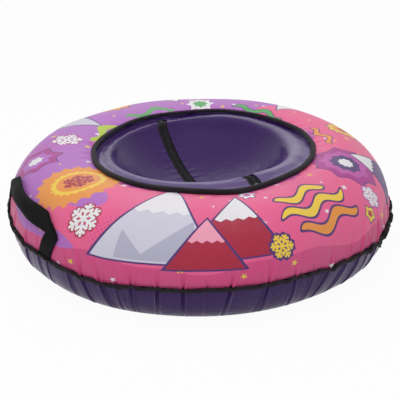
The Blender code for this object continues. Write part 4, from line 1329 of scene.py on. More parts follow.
class PathRepeat:
    """A geometry tree that sets one small shape at an even pitch along a path."""

    def __init__(self) -> None:
        """Build the tree."""
        tree, (path, shape, pitch, unevenness, seed, material) = node_group(
            "Repeat along a path", "GeometryNodeTree", ("Path", "Shape", "Pitch", "Unevenness", "Seed", "Material"),
            ("Result",))
        curve = tree.node("GeometryNodeMeshToCurve", {0: path})
        even = tree.node("GeometryNodeResampleCurve", mode="LENGTH")
        tree.feed(even, {"Curve": curve, "Length": pitch})
        upward = tree.node("GeometryNodeInputNamedAttribute", {"Name": "upward"}, data_type="FLOAT_VECTOR")
        tangent = tree.node("GeometryNodeInputTangent")
        facing = tree.node("FunctionNodeAlignRotationToVector", {"Vector": tangent}, axis="X")
        standing = tree.node("FunctionNodeAlignRotationToVector", {"Rotation": facing, "Vector": upward}, axis="Z",
                             pivot_axis="X")
        most = tree.node("ShaderNodeCombineXYZ", {0: unevenness, 1: unevenness, 2: unevenness})
        least = tree.node("ShaderNodeVectorMath", {0: most, 1: (-1.0, -1.0, -1.0)}, operation="MULTIPLY")
        chance = tree.node("FunctionNodeRandomValue", {0: least, 1: most, "Seed": seed}, data_type="FLOAT_VECTOR")
        turn = tree.node("FunctionNodeRotateRotation", {"Rotation": standing, "Rotate By": chance},
                         rotation_space="LOCAL")
        pattern = tree.node("GeometryNodeObjectInfo", {"Object": shape}).outputs["Geometry"]
        placed = tree.node("GeometryNodeInstanceOnPoints", {"Points": even, "Instance": pattern, "Rotation": turn})
        real = tree.node("GeometryNodeRealizeInstances", {0: placed})
        self.tree = tree.result(tree.node("GeometryNodeSetMaterial", {"Geometry": real, "Material": material}))
        self.names = {item.name: item.identifier for item in self.tree.interface.items_tree if item.in_out == "INPUT"}

    def run(self, name: str, paths: list[tuple[np.ndarray, np.ndarray]], shape: bpy.types.Mesh, pitch: float,
            material: bpy.types.Material, unevenness: float = 0.04, seed: int = 1) -> bpy.types.Object:
        """Repeat a shape along some paths and give back a plain mesh.

        Args:
            name: The piece's name.
            paths: Points and upward directions of each path.
            shape: The small shape, long along X with Z up.
            pitch: Distance from one shape to the next.
            material: The piece's material.
            unevenness: Largest random turn of a shape, in radians.
            seed: Fixed seed of the random turns.

        Returns:
            The piece.
        """
        mesh = bpy.data.meshes.new(name + "_path")
        edges, start = [], 0
        for points, _ in paths:
            edges += [(step, step + 1) for step in range(start, start + len(points) - 1)]
            start += len(points)
        mesh.from_pydata(np.concatenate([points for points, _ in paths]).tolist(), edges, [])
        upward = np.concatenate([normals for _, normals in paths]).astype(np.float32)
        mesh.attributes.new("upward", "FLOAT_VECTOR", "POINT").data.foreach_set("vector", upward.reshape(-1))
        holder, pattern = add_object(name + "_path", mesh), add_object(name + "_shape", shape)
        change = holder.modifiers.new("repeat", "NODES")
        change.node_group = self.tree
        for title, value in (("Shape", pattern), ("Pitch", pitch), ("Unevenness", unevenness), ("Seed", seed),
                             ("Material", material)):
            change[self.names[title]] = value
        bake(holder)
        solid = holder.data
        for old in (holder, pattern):
            bpy.data.objects.remove(old, do_unlink=True)
        solid.name = name
        if not solid.materials:
            solid.materials.append(material)
        solid.shade_smooth()
        return add_object(name, solid)


def bake(piece: bpy.types.Object) -> None:
    """Apply a piece's modifiers to its mesh.

    Args:
        piece: The piece.
    """
    solid = bpy.data.meshes.new_from_object(piece.evaluated_get(bpy.context.evaluated_depsgraph_get()))
    old = piece.data
    piece.modifiers.clear()
    piece.data = solid
    bpy.data.meshes.remove(old)
    solid.name = piece.name


def stitch_shape(length: float, radius: float = 0.00035) -> bpy.types.Mesh:
    """A rounded stitch along X.

    Args:
        length: Its length.
        radius: Half of its thickness.

    Returns:
        The mesh.
    """
    work = bmesh.new()
    size = Matrix.Diagonal((length / 2.0, radius, radius, 1.0))
    bmesh.ops.create_uvsphere(work, u_segments=6, v_segments=5, radius=1.0,
                              matrix=size @ Matrix.Rotation(math.pi / 2.0, 4, "Y"))
    return finished_mesh("stitch", work)


def tooth_shape(inner: float, outer: float, radius: float, side: float, rise: float) -> bpy.types.Mesh:
    """One turn of a zip coil, seen as a rounded loop that lies across the zip.

    Args:
        inner: Distance of its near end from the zip's middle.
        outer: Distance of its far end from the zip's middle.
        radius: Half of the wire's thickness.
        side: 1 or -1 for the side of the zip.
        rise: Half of the loop's height.

    Returns:
        The mesh.
    """
    steps, corners, slant = 12, 5, 0.00035
    work = bmesh.new()
    middle, half = (inner + outer) / 2.0, (outer - inner) / 2.0
    rings = []
    for step in range(steps):
        turn = math.tau * step / steps
        bend = Vector((slant * math.cos(turn), side * (middle + half * math.cos(turn)), rise * math.sin(turn)))
        out = Vector((0.0, side * math.cos(turn), math.sin(turn))) * radius
        leans = [math.tau * corner / corners for corner in range(corners)]
        rings.append([work.verts.new(bend + out * math.cos(lean) + Vector((radius * math.sin(lean), 0.0, 0.0)))
                      for lean in leans])
    for first, second in zip(rings, rings[1:] + rings[:1]):
        for corner in range(corners):
            after = (corner + 1) % corners
            work.faces.new((first[corner], first[after], second[after], second[corner]))
    bmesh.ops.recalc_face_normals(work, faces=work.faces)
    return finished_mesh("tooth", work)


# Sub-assemblies


@dataclass
class InnerTube:
    """The rubber ring that fills the covers."""

    form: TubeForm
    columns: int = 240
    outer_play: float = 0.007
    top_play: float = 0.009
    outline: tuple = (
        (0.4395, 0.0520), (0.431, 0.0315), (0.4205, 0.0165), (0.408, 0.0070), (0.394, 0.0035), (0.300, 0.0030),
        (0.205, 0.0035), (0.178, 0.0095), (0.158, 0.0242), (0.151, 0.046), (0.151, 0.078), (0.160, 0.1060),
        (0.176, 0.1330), (0.192, 0.1560), (0.209, 0.1720), (0.224, 0.1770), (0.238, 0.1800), (0.249, 0.1840),
        (0.2600, 0.1890), (0.2695, 0.1990), (0.283, 0.2035), (0.300, 0.2052), (0.337, 0.2015), (0.3720, 0.1895),
        (0.4020, 0.1715), (0.4255, 0.149), (0.4405, 0.121), (0.4420, 0.083))

    def build(self, material: bpy.types.Material) -> None:
        """Make the ring as one rounded closed tube, and dress it.

        Args:
            material: Material of the rubber.
        """
        azimuth = even_turns(self.columns)[None, :]
        radius, height = np.array(self.outline)[:, 0:1], np.array(self.outline)[:, 1:2]
        outer = smooth_step(radius, 0.30, 0.44)
        inner = smooth_step(radius, 0.34, 0.27) * smooth_step(height, 0.10, 0.17)
        level = height + smooth_step(height, 0.10, 0.19) * (-self.top_play + self.form.rim_wave(azimuth))
        points = ring_points(azimuth, radius - outer * (self.outer_play + self.form.squeeze(azimuth)), level)
        ring = grid_mesh("inner_tube_rubber", self.form.shifted(points, inner), material, closed_rows=True, flip=True)
        dress(ring, Slot.RUBBER, "inner_tube")


@dataclass
class Covers:
    """The printed top cover and the glossy bottom cover."""

    form: TubeForm
    columns: int = 1500
    bottom_columns: int = 2400

    def build(self, printed: bpy.types.Material, sheeting: bpy.types.Material) -> None:
        """Make and dress both covers.

        Args:
            printed: Material of the top cover.
            sheeting: Material of the bottom cover.
        """
        top = self.cloth("top_cover_cloth", self.columns, self.form.top_section()[2], self.form.top_points, printed)
        bottom = self.cloth("bottom_cover_sheeting", self.bottom_columns, self.form.bottom_section()[2],
                            self.form.bottom_points, sheeting, flip=True)
        self.close_middle(bottom)
        for piece, node, slot in ((top, "top_cover", Slot.PRINT), (bottom, "bottom_cover", Slot.SHEETING)):
            dress(piece, slot, node)
            stretch(piece)

    def cloth(self, name: str, columns: int, way: np.ndarray, points: Callable, material: bpy.types.Material,
              flip: bool = False) -> bpy.types.Object:
        """Make one cover.

        Args:
            name: The piece's name.
            columns: Number of columns round the ring.
            way: Distances of its rows along the section.
            points: What gives its points at angles and distances.
            material: Its material.
            flip: Whether to turn its faces over.

        Returns:
            The cover.
        """
        azimuth = even_turns(columns)
        return grid_mesh(name, points(azimuth[None, :], way[:, None]), material,
                         lengths=(round_lengths(azimuth, MAP_RADIUS), way), flip=flip)

    def close_middle(self, bottom: bpy.types.Object) -> None:
        """Fill the small hole in the middle of the ground side.

        Args:
            bottom: The bottom cover.
        """
        work = bmesh.new()
        work.from_mesh(bottom.data)
        edges = [edge for edge in work.edges if edge.is_boundary
                 and all(vert.co.xy.length < 0.02 for vert in edge.verts)]
        bmesh.ops.holes_fill(work, edges=edges, sides=0)
        filled = [face for face in work.faces if len(face.verts) > 4]
        bmesh.ops.recalc_face_normals(work, faces=filled)
        for face in filled:
            if face.normal.z > 0.0:
                face.normal_flip()
        work.to_mesh(bottom.data)
        work.free()


@dataclass
class Tapes:
    """The folded tapes on the rim and on the outer seam, ruffled where the seam tape hangs free."""

    form: TubeForm
    columns: int = 2160
    rim_width: float = 0.0112
    rim_height: float = 0.0115
    seam_width: float = 0.0086
    seam_thickness: float = 0.0033
    ruffles: tuple = ((-50.0, 17.0, 1.0), (75.0, 40.0, 0.35))
    handle_roots: tuple = (163.8, 196.2, 19.8, 52.2)

    def loop_section(self, width: float, height: float, corner: float, steps: int) -> np.ndarray:
        """A closed rounded outline, anticlockwise from its lower right.

        Args:
            width: Full width.
            height: Full height.
            corner: Radius of the corners.
            steps: Points on each corner.

        Returns:
            Points as pairs.
        """
        points = []
        for quarter, (x_way, y_way) in enumerate(((1, -1), (1, 1), (-1, 1), (-1, -1))):
            turn = np.linspace(0.0, math.pi / 2.0, steps) + math.pi * 1.5 + quarter * math.pi / 2.0
            points.append(np.stack([x_way * (width / 2.0 - corner) + corner * np.cos(turn),
                                    y_way * (height / 2.0 - corner) + corner * np.sin(turn)], -1))
        return np.concatenate(points)

    def tape(self, name: str, points: np.ndarray, material: bpy.types.Material, radius: float,
             around: np.ndarray) -> bpy.types.Object:
        """A closed tape round the ring, with a map by its lengths."""
        return grid_mesh(name, points, material, lengths=(round_lengths(even_turns(self.columns), radius), around),
                         closed_rows=True)

    def rim_tape(self, material: bpy.types.Material) -> bpy.types.Object:
        """The tape that stands round the rim.

        Args:
            material: The piece's material.

        Returns:
            The tape.
        """
        azimuth = even_turns(self.columns)
        section = self.loop_section(self.rim_width, self.rim_height, 0.0040, 5)
        radius = self.form.rim_radius + section[:, 0:1] * (1.0 + 0.05 * ripple(azimuth, 51, 18, 40)) \
            + 0.0005 * ripple(azimuth, 53, 9, 22)
        tall = 0.81 - 0.19 * np.sin(self.form.view_turn(azimuth))
        height = self.form.rim_base - 0.0004 + (self.rim_height / 2.0 + section[:, 1:2]) * tall \
            + self.form.rim_wave(azimuth)
        points = self.form.shifted(ring_points(azimuth, radius, height), 1.0)
        around = distances(section)
        return self.tape("rim_tape", points, material, self.form.rim_radius, np.append(around, around[-1] + 0.003))

    def seam_frame(self, azimuth: np.ndarray) -> tuple[np.ndarray, np.ndarray, np.ndarray]:
        """Lie of the seam tape round the ring, flat at the handles' roots.

        Args:
            azimuth: Angles in degrees.

        Returns:
            Its tilt in radians, its width, and how freely it ruffles.
        """
        quiet = 1.0 - np.clip(bumps(azimuth, *((root, 5.5, 1.0) for root in self.handle_roots)), 0.0, 1.0)
        ruffle = bumps(azimuth, *self.ruffles) * quiet
        tilt = (-0.12 + 0.16 * ripple(azimuth, 61, 30, 70) + 0.10 * ripple(azimuth, 62, 110, 200)) * quiet
        tilt = tilt + ruffle * 0.85 * np.sin(np.radians(azimuth * 40.0) + 1.2 * ripple(azimuth, 63, 6, 16))
        width = self.seam_width * (1.0 + 0.06 * ripple(azimuth, 67, 40, 80) * quiet + 0.40 * ruffle)
        return tilt, width, ruffle

    def seam_tape(self, material: bpy.types.Material) -> bpy.types.Object:
        """The folded tape on the outer seam.

        Args:
            material: The piece's material.

        Returns:
            The tape.
        """
        azimuth = even_turns(self.columns)
        tilt, width, ruffle = self.seam_frame(azimuth)
        section = self.loop_section(1.0, self.seam_thickness, 0.0016, 4)
        across = (section[:, 0:1] + 0.5) * width
        over = section[:, 1:2] * (1.0 - 0.25 * ruffle)
        sway = 0.0014 * ruffle * np.sin(np.radians(azimuth * 47.0)) + 0.0004 * ripple(azimuth, 69, 60, 110)
        radius = self.form.seam_radius + 0.0010 - self.form.squeeze(azimuth) \
            + across * np.cos(tilt) - over * np.sin(tilt) + sway
        rise = (0.0009 * ripple(azimuth, 64, 90, 170) + 0.0010 * ripple(azimuth, 66, 40, 80)) * (1.0 + 0.5 * ruffle)
        height = self.form.seam_height + self.form.seam_wave(azimuth) + rise \
            + across * np.sin(tilt) + over * np.cos(tilt)
        around = distances(section) * 0.01
        return self.tape("seam_tape", ring_points(azimuth, radius, height), material, self.form.cover_radius,
                         np.append(around, around[-1] + 0.002))

    def build(self, material: bpy.types.Material) -> None:
        """Make and dress both tapes."""
        for piece, node in zip((self.rim_tape(material), self.seam_tape(material)), ("rim_binding", "seam_binding")):
            dress(piece, Slot.TAPE, node)


@dataclass
class Seat:
    """The sunk seat with its slot and the stitches beside the zip."""

    form: TubeForm
    columns: int = 520
    slot_half_width: float = 0.0130
    slot_half_length: float = 0.2460
    thickness: float = 0.0011

    def build(self, repeat: PathRepeat, material: bpy.types.Material, thread: bpy.types.Material) -> None:
        """Make the seat and its stitches, and dress them.

        Args:
            repeat: The tree that repeats a shape.
            material: Material of the sheeting.
            thread: Material of the stitches.
        """
        seat, stitches = self.sheet(material), self.stitches(repeat, thread)
        dress(seat, Slot.SHEETING, "seat_panel")
        stretch(seat, with_pieces=[stitches])
        dress(stitches, Slot.SHEETING)

    def sheet(self, material: bpy.types.Material) -> bpy.types.Object:
        """Lay out the seat sheet flat, cut its slot and form it up.

        Args:
            material: Material of the sheeting.

        Returns:
            The seat.
        """
        radii, _, way = self.form.seat_section()
        flat = ring_points(even_turns(self.columns)[None, :], way[:, None], np.zeros((1, 1)))
        seat = grid_mesh("seat_sheet", flat, material)
        work = bmesh.new()
        work.from_mesh(seat.data)
        work.faces.new([vert for vert in work.verts if vert.co.xy.length < way[0] + 0.0005][:self.columns])
        length, half = float(np.interp(self.slot_half_length, radii, way)), self.slot_half_width
        for place, normal in (((half, 0, 0), (1, 0, 0)), ((-half, 0, 0), (1, 0, 0)),
                              ((0, length, 0), (0, 1, 0)), ((0, -length, 0), (0, 1, 0))):
            geometry = work.verts[:] + work.edges[:] + work.faces[:]
            bmesh.ops.bisect_plane(work, geom=geometry, dist=0.00001, plane_co=place, plane_no=normal)
        centres = [(face, face.calc_center_median()) for face in work.faces]
        inside = [face for face, centre in centres if abs(centre.x) < half and abs(centre.y) < length]
        bmesh.ops.delete(work, geom=inside, context="FACES")
        self.form_up(work)
        work.normal_update()
        work.to_mesh(seat.data)
        work.free()
        seat.data.shade_smooth()
        return thicken(seat, self.thickness, -1.0)

    def form_up(self, work: bmesh.types.BMesh) -> None:
        """Bring the flat sheet to the seat's form, keeping its width across the zip true.

        Args:
            work: The sheet, laid out flat by the distance from its middle.
        """
        radii, _, way = self.form.seat_section()
        places = np.array([vert.co[:] for vert in work.verts])
        along = np.hypot(places[:, 0], places[:, 1])
        radius = np.interp(along, way, radii)
        squash = np.where(along > 1e-6, radius / np.maximum(along, 1e-6), 1.0)
        near = np.exp(-(np.maximum(np.abs(places[:, 0]) - 0.016, 0.0) / 0.012) ** 2)
        inner = 1.0 - smooth_step(along, way[-1] - 0.016, way[-1] - 0.008)
        across, ahead = places[:, 0] * (squash + (1.0 - squash) * near * inner), places[:, 1] * squash
        farther = np.interp(np.hypot(across, ahead), radii, way) - np.interp(radius, radii, way)
        points = self.form.seat_points(np.degrees(np.arctan2(ahead, across)), along + farther * inner)
        for vert, point in zip(work.verts, points.tolist()):
            vert.co = point
        self.pucker(work)

    def pucker(self, work: bmesh.types.BMesh) -> None:
        """Gather the sheet a little along the zip.

        Args:
            work: The work mesh.
        """
        line, _ = self.form.zip_line(self.slot_half_length, 400, 0.0)
        for vert in work.verts:
            middle = float(np.interp(vert.co.y, line[:, 1], line[:, 0]))
            off = abs(vert.co.x - middle) - self.slot_half_width
            if off <= 0.04 and abs(vert.co.y) <= self.slot_half_length:
                side = 1.0 if vert.co.x > middle else -1.0
                wave = math.sin(vert.co.y * 310.0 + side) + 0.6 * math.sin(vert.co.y * 523.0 + 2.0 * side)
                vert.co.z += 0.0006 * (1.0 + wave) * math.exp(-((off - 0.007) / 0.012) ** 2)

    def stitches(self, repeat: PathRepeat, material: bpy.types.Material) -> bpy.types.Object:
        """The two rows of stitches beside the zip.

        Args:
            repeat: The tree that repeats a shape.
            material: The piece's material.

        Returns:
            The stitches.
        """
        points, normals = self.form.zip_line(self.slot_half_length - 0.004, 260, -self.thickness)
        paths = [(points + np.array([side.value * (self.slot_half_width + 0.0022), 0.0, 0.0]), normals)
                 for side in Side]
        return repeat.run("seat_zip_stitches", paths, stitch_shape(0.0027), 0.0034, material, seed=3)


@dataclass
class Zip:
    """The coil zip: woven tapes, coils and the metal stops past both ends of the coils."""

    form: TubeForm
    tape_inner: float = 0.0005
    tape_width: float = 0.0170
    tape_ends: float = 0.2490
    coil_ends: float = 0.2420
    pitch: float = 0.0016

    def build(self, repeat: PathRepeat, tape: bpy.types.Material, coil: bpy.types.Material,
              metal: bpy.types.Material) -> None:
        """Make and dress the tapes, the coils and the stops.

        Args:
            repeat: The tree that repeats a shape.
            tape: Material of the woven tapes.
            coil: Material of the coils.
            metal: Material of the stops.
        """
        for side in Side:
            dress(self.tape(side, tape), Slot.TAPE, "zip_tape_" + side.name.lower())
        for side in Side:
            dress(self.coil(repeat, side, coil), Slot.COIL, "zip_coil_" + side.name.lower())
        for name, node, end, across, width in (
                ("zip_bottom_staple", "zip_bottom_stop", -1, 0.0, 0.0064),
                ("zip_top_staple_left", "zip_top_stop_left", 0, -0.0019, 0.0029),
                ("zip_top_staple_right", "zip_top_stop_right", 0, 0.0019, 0.0029)):
            dress(self.stop(name, end, across, width, metal), Slot.METAL, node)

    def tape(self, side: Side, material: bpy.types.Material) -> bpy.types.Object:
        """One woven tape.

        Args:
            side: The side of the zip.
            material: The piece's material.

        Returns:
            The tape.
        """
        points, _ = self.form.zip_line(self.tape_ends, 300, 0.0019)
        edges = sorted((side.value * self.tape_inner, side.value * (self.tape_inner + self.tape_width)))
        rows = np.stack([points + np.array([edge, 0.0, 0.0]) for edge in np.linspace(*edges, 5)])
        lengths = (distances(points), np.linspace(0.0, self.tape_width, 5))
        piece = grid_mesh("zip_tape_cloth_" + side.name.lower(), rows, material, wrap=False, lengths=lengths, flip=True)
        return thicken(piece, 0.0007, 0.0)

    def coil(self, repeat: PathRepeat, side: Side, material: bpy.types.Material) -> bpy.types.Object:
        """One coil. The right one is moved on by half a pitch, so that the turns mesh.

        Args:
            repeat: The tree that repeats a shape.
            side: The side of the zip.
            material: The piece's material.

        Returns:
            The coil.
        """
        points, normals = self.form.zip_line(self.coil_ends, 300, 0.0001)
        shift = self.pitch / 2.0 if side is Side.RIGHT else 0.0
        path = points + unit(np.gradient(points, axis=0)) * shift
        shape = tooth_shape(-0.0003, 0.0031, 0.00042, side.value, 0.0007)
        return repeat.run("zip_coil_turns_" + side.name.lower(), [(path, normals)], shape, self.pitch, material,
                          unevenness=0.01, seed=5)

    def stop(self, name: str, end: int, across: float, width: float, material: bpy.types.Material) -> bpy.types.Object:
        """A bent metal staple.

        Args:
            name: The piece's name.
            end: Index of the zip line's point that it stands at.
            across: Its place across the zip.
            width: Its width across the zip.
            material: Material of the metal.

        Returns:
            The stop.
        """
        points, normals = self.form.zip_line(self.coil_ends + 0.0024, 300, 0.0004)
        ahead = Vector(points[-1] - points[-3] if end else points[2] - points[0]).normalized()
        up = Vector(normals[end])
        turned = Matrix((ahead.cross(up), ahead, up)).transposed().to_4x4()
        place = Matrix.Translation(Vector(points[end]) + Vector((across, 0.0, 0.0)))
        work = bmesh.new()
        bmesh.ops.create_cube(work, size=1.0, matrix=place @ turned @ Matrix.Diagonal((width, 0.0030, 0.0023, 1.0)))
        bmesh.ops.bevel(work, geom=work.edges[:], offset=0.0006, segments=2, profile=0.6, affect="EDGES")
        mesh = finished_mesh(name, work)
        mesh.materials.append(material)
        mesh.shade_smooth()
        return add_object(name, mesh)


@dataclass
class Handle:
    """A webbing handle, folded at its two corners and sewn to the seam."""

    form: TubeForm
    side: Side
    width: float = 0.038
    thickness: float = 0.0018
    centre: float = 180.0
    root_turn: float = 16.2
    lean: float = 24.0
    low_edge: float = 0.0490
    corner: float = 0.1725
    middle_rise: float = 0.004
    bow: float = 0.006
    tuck_arc: float = 0.1060
    tuck_radius: float = 0.0019
    tuck_lift: float = 0.0014
    curl: float = 1.12
    fold_radius: float = 0.00125
    base_lift: float = 0.0019
    seam_run: float = 0.0050
    seam_gap: float = 0.0035
    box: tuple = ((-0.014, 0.0005), (0.014, 0.0005), (0.014, 0.0085), (-0.014, 0.0085))

    def fold_normal(self) -> np.ndarray:
        """Direction across the fold at the corner, round the ring and up the cover."""
        turn = math.radians(self.lean)
        return unit(np.array([math.cos(turn), 1.0 - math.sin(turn)]))

    def fold(self, run: np.ndarray, across: np.ndarray) -> tuple[np.ndarray, np.ndarray, np.ndarray]:
        """Lay the flat strap along the cover with a fold at its corner.

        Args:
            run: Distance along the strap from its middle, on one half.
            across: Distance across the strap from its middle line.

        Returns:
            Distance round the ring, distance up the cover, and lift off it.
        """
        normal, radius = self.fold_normal(), self.fold_radius
        high = self.low_edge + self.width / 2.0 + across
        away = (run - self.corner) * normal[0] + (high - self.low_edge) * normal[1]
        bend = np.abs(away) <= radius * math.pi / 2.0
        flat = np.where(bend, radius * (np.cos(away / radius) - 1.0),
                        -(np.abs(away) - radius * math.pi / 2.0) - radius)
        lift = np.where(bend, -radius * np.sin(away / radius), -np.sign(away) * radius)
        return self.tuck(run + (flat - away) * normal[0], high + (flat - away) * normal[1],
                         self.base_lift + radius + lift)

    def tuck(self, arc: np.ndarray, up: np.ndarray, lift: np.ndarray) -> tuple[np.ndarray, np.ndarray, np.ndarray]:
        """Fold the sharp upper corner of the bend under, along a line from the strand's top to the outer corner.

        Args:
            arc: Distance round the ring.
            up: Distance up the cover.
            lift: Lift off the cover.

        Returns:
            The same three, with the corner turned under.
        """
        normal, radius = unit(np.array([self.width, self.corner - self.tuck_arc])), self.tuck_radius
        away = (arc - self.corner - 0.0015) * normal[0] + (up - self.low_edge - 0.0008) * normal[1]
        turn = np.clip(away / radius, 0.0, math.pi)
        flat = np.where(away < radius * math.pi, radius * np.sin(turn), radius * math.pi - away)
        flat = np.where(away < 0.0, away, flat)
        under = np.maximum(lift + self.tuck_lift - radius * (1.0 - np.cos(turn)), self.thickness * 0.75)
        mixed = np.where(away < 0.0, lift + self.tuck_lift * smooth_step(away, -0.03, 0.0), under)
        return arc + (flat - away) * normal[0], up + (flat - away) * normal[1], mixed

    def run_ends(self, across: np.ndarray) -> np.ndarray:
        """Length of half the strap at each place across it, so that its end lies level on the seam.

        Args:
            across: Distance across the strap from its middle line.

        Returns:
            Lengths in metres.
        """
        normal = self.fold_normal()
        rise = self.width / 2.0 + across
        rest = (self.low_edge + rise + self.seam_run) / (2.0 * normal[1]) - rise * normal[1]
        return self.corner + rest / normal[0]

    def place(self, arc: np.ndarray, up: np.ndarray, lift: np.ndarray) -> np.ndarray:
        """Points over the cover.

        Args:
            arc: Distance round the ring from the handle's middle.
            up: Distance up the cover from the seam tape. Below zero it runs out over the tape.
            lift: Distance off the cover.

        Returns:
            Points with a last axis of three.
        """
        azimuth = self.centre + np.degrees(arc / self.form.cover_radius)
        along = np.maximum(up, 0.0) + self.seam_gap
        guide = np.maximum(along, 0.010)
        here, above, beside = [self.form.top_points(azimuth + aside, guide + step, folded=False)
                               for aside, step in ((0.0, 0.0), (0.0, 0.0015), (0.2, 0.0))]
        points = here + unit(np.cross(beside - here, above - here)) * lift[..., None]
        points[..., 2] += np.minimum(along - guide, 0.0)
        return points + ring_points(azimuth, 1.0, 0.0) * np.maximum(-up, 0.0)[..., None]

    def build(self, repeat: PathRepeat, material: bpy.types.Material, thread: bpy.types.Material) -> None:
        """Make the strap and its stitches, bake them, and hide the solids of the handle that they replace.

        Args:
            repeat: The tree that repeats a shape.
            material: Material of the webbing.
            thread: Material of the stitches.
        """
        name = "handle_" + self.side.name.lower()
        strap = self.strap(material)
        for piece in (strap, self.stitches(repeat, thread)):
            bake(piece)
            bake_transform(piece)
            report(piece)
        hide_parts(name, name + "_end_near", name + "_end_far")

    def strap(self, material: bpy.types.Material) -> bpy.types.Object:
        """Make the strap from end to end.

        Args:
            material: Material of the webbing.

        Returns:
            The strap.
        """
        cross, shares = np.linspace(-self.width / 2.0, self.width / 2.0, 15), np.linspace(-1.0, 1.0, 301)
        ends = self.run_ends(cross)
        run = shares[:, None] * ends[None, :]
        bend = self.curl * (1.0 - smooth_step(np.abs(run), 0.015, 0.112)) + 0.001
        radius = self.width / 2.0 / bend
        arc, up, lift = self.fold(np.abs(run), radius * np.sin(cross / radius))
        arc = arc * np.sign(run)
        near = np.clip(1.0 - (arc / self.corner) ** 2, 0.0, 1.0) * smooth_step(up, 0.012, self.low_edge)
        lift = lift + radius * (np.cos(cross / radius) - np.cos(bend)) + self.bow * near
        lengths = (np.linspace(0.0, self.width, len(cross)), shares * float(ends.mean()))
        strap = grid_mesh("handle_strap_" + self.side.name.lower(), self.place(arc, up + self.middle_rise * near, lift),
                          material, wrap=False, lengths=lengths)
        middle = strap.data.polygons[len(strap.data.polygons) // 2]
        if middle.normal.x * self.side.value < 0.0:
            strap.data.flip_normals()
        return thicken(strap, self.thickness, 0.0)

    def stitches(self, repeat: PathRepeat, material: bpy.types.Material) -> bpy.types.Object:
        """A sewn box on each end of the strap.

        Args:
            repeat: The tree that repeats a shape.
            material: The piece's material.

        Returns:
            The stitches.
        """
        paths = []
        share = np.linspace(0.0, 1.0, 14)
        root = self.root_turn * math.pi / 180.0 * self.form.cover_radius
        for end in (-1.0, 1.0):
            for first, second in zip(self.box, self.box[1:] + self.box[:1]):
                up = first[1] + (second[1] - first[1]) * share
                arc = root + math.tan(math.radians(self.lean)) * up + first[0] + (second[0] - first[0]) * share
                low, top = [self.place(end * arc, up, np.full_like(up, self.base_lift + more))
                            for more in (0.0, self.thickness / 2.0 + 0.0001)]
                paths.append((top, unit(top - low)))
        return repeat.run("handle_stitches_" + self.side.name.lower(), paths, stitch_shape(0.0024), 0.0030, material,
                          seed=7)


class Trim:
    """The solids that keep their shape and only take a finish."""

    def dress(self, finishes: dict[Slot, bpy.types.Material]) -> None:
        """Give each shown solid its material.

        Args:
            finishes: Material of each slot.
        """
        slots = {row["node"]: row["material_slot"] for row in frame["record"]["subparts"]}
        for name, made in frame["nodes"].items():
            if made.hide_render:
                continue
            material = finishes[Slot(slots[name])]
            for holder in made.material_slots:
                holder.material = material
            LOG.info("%s: %s", name, material.name)


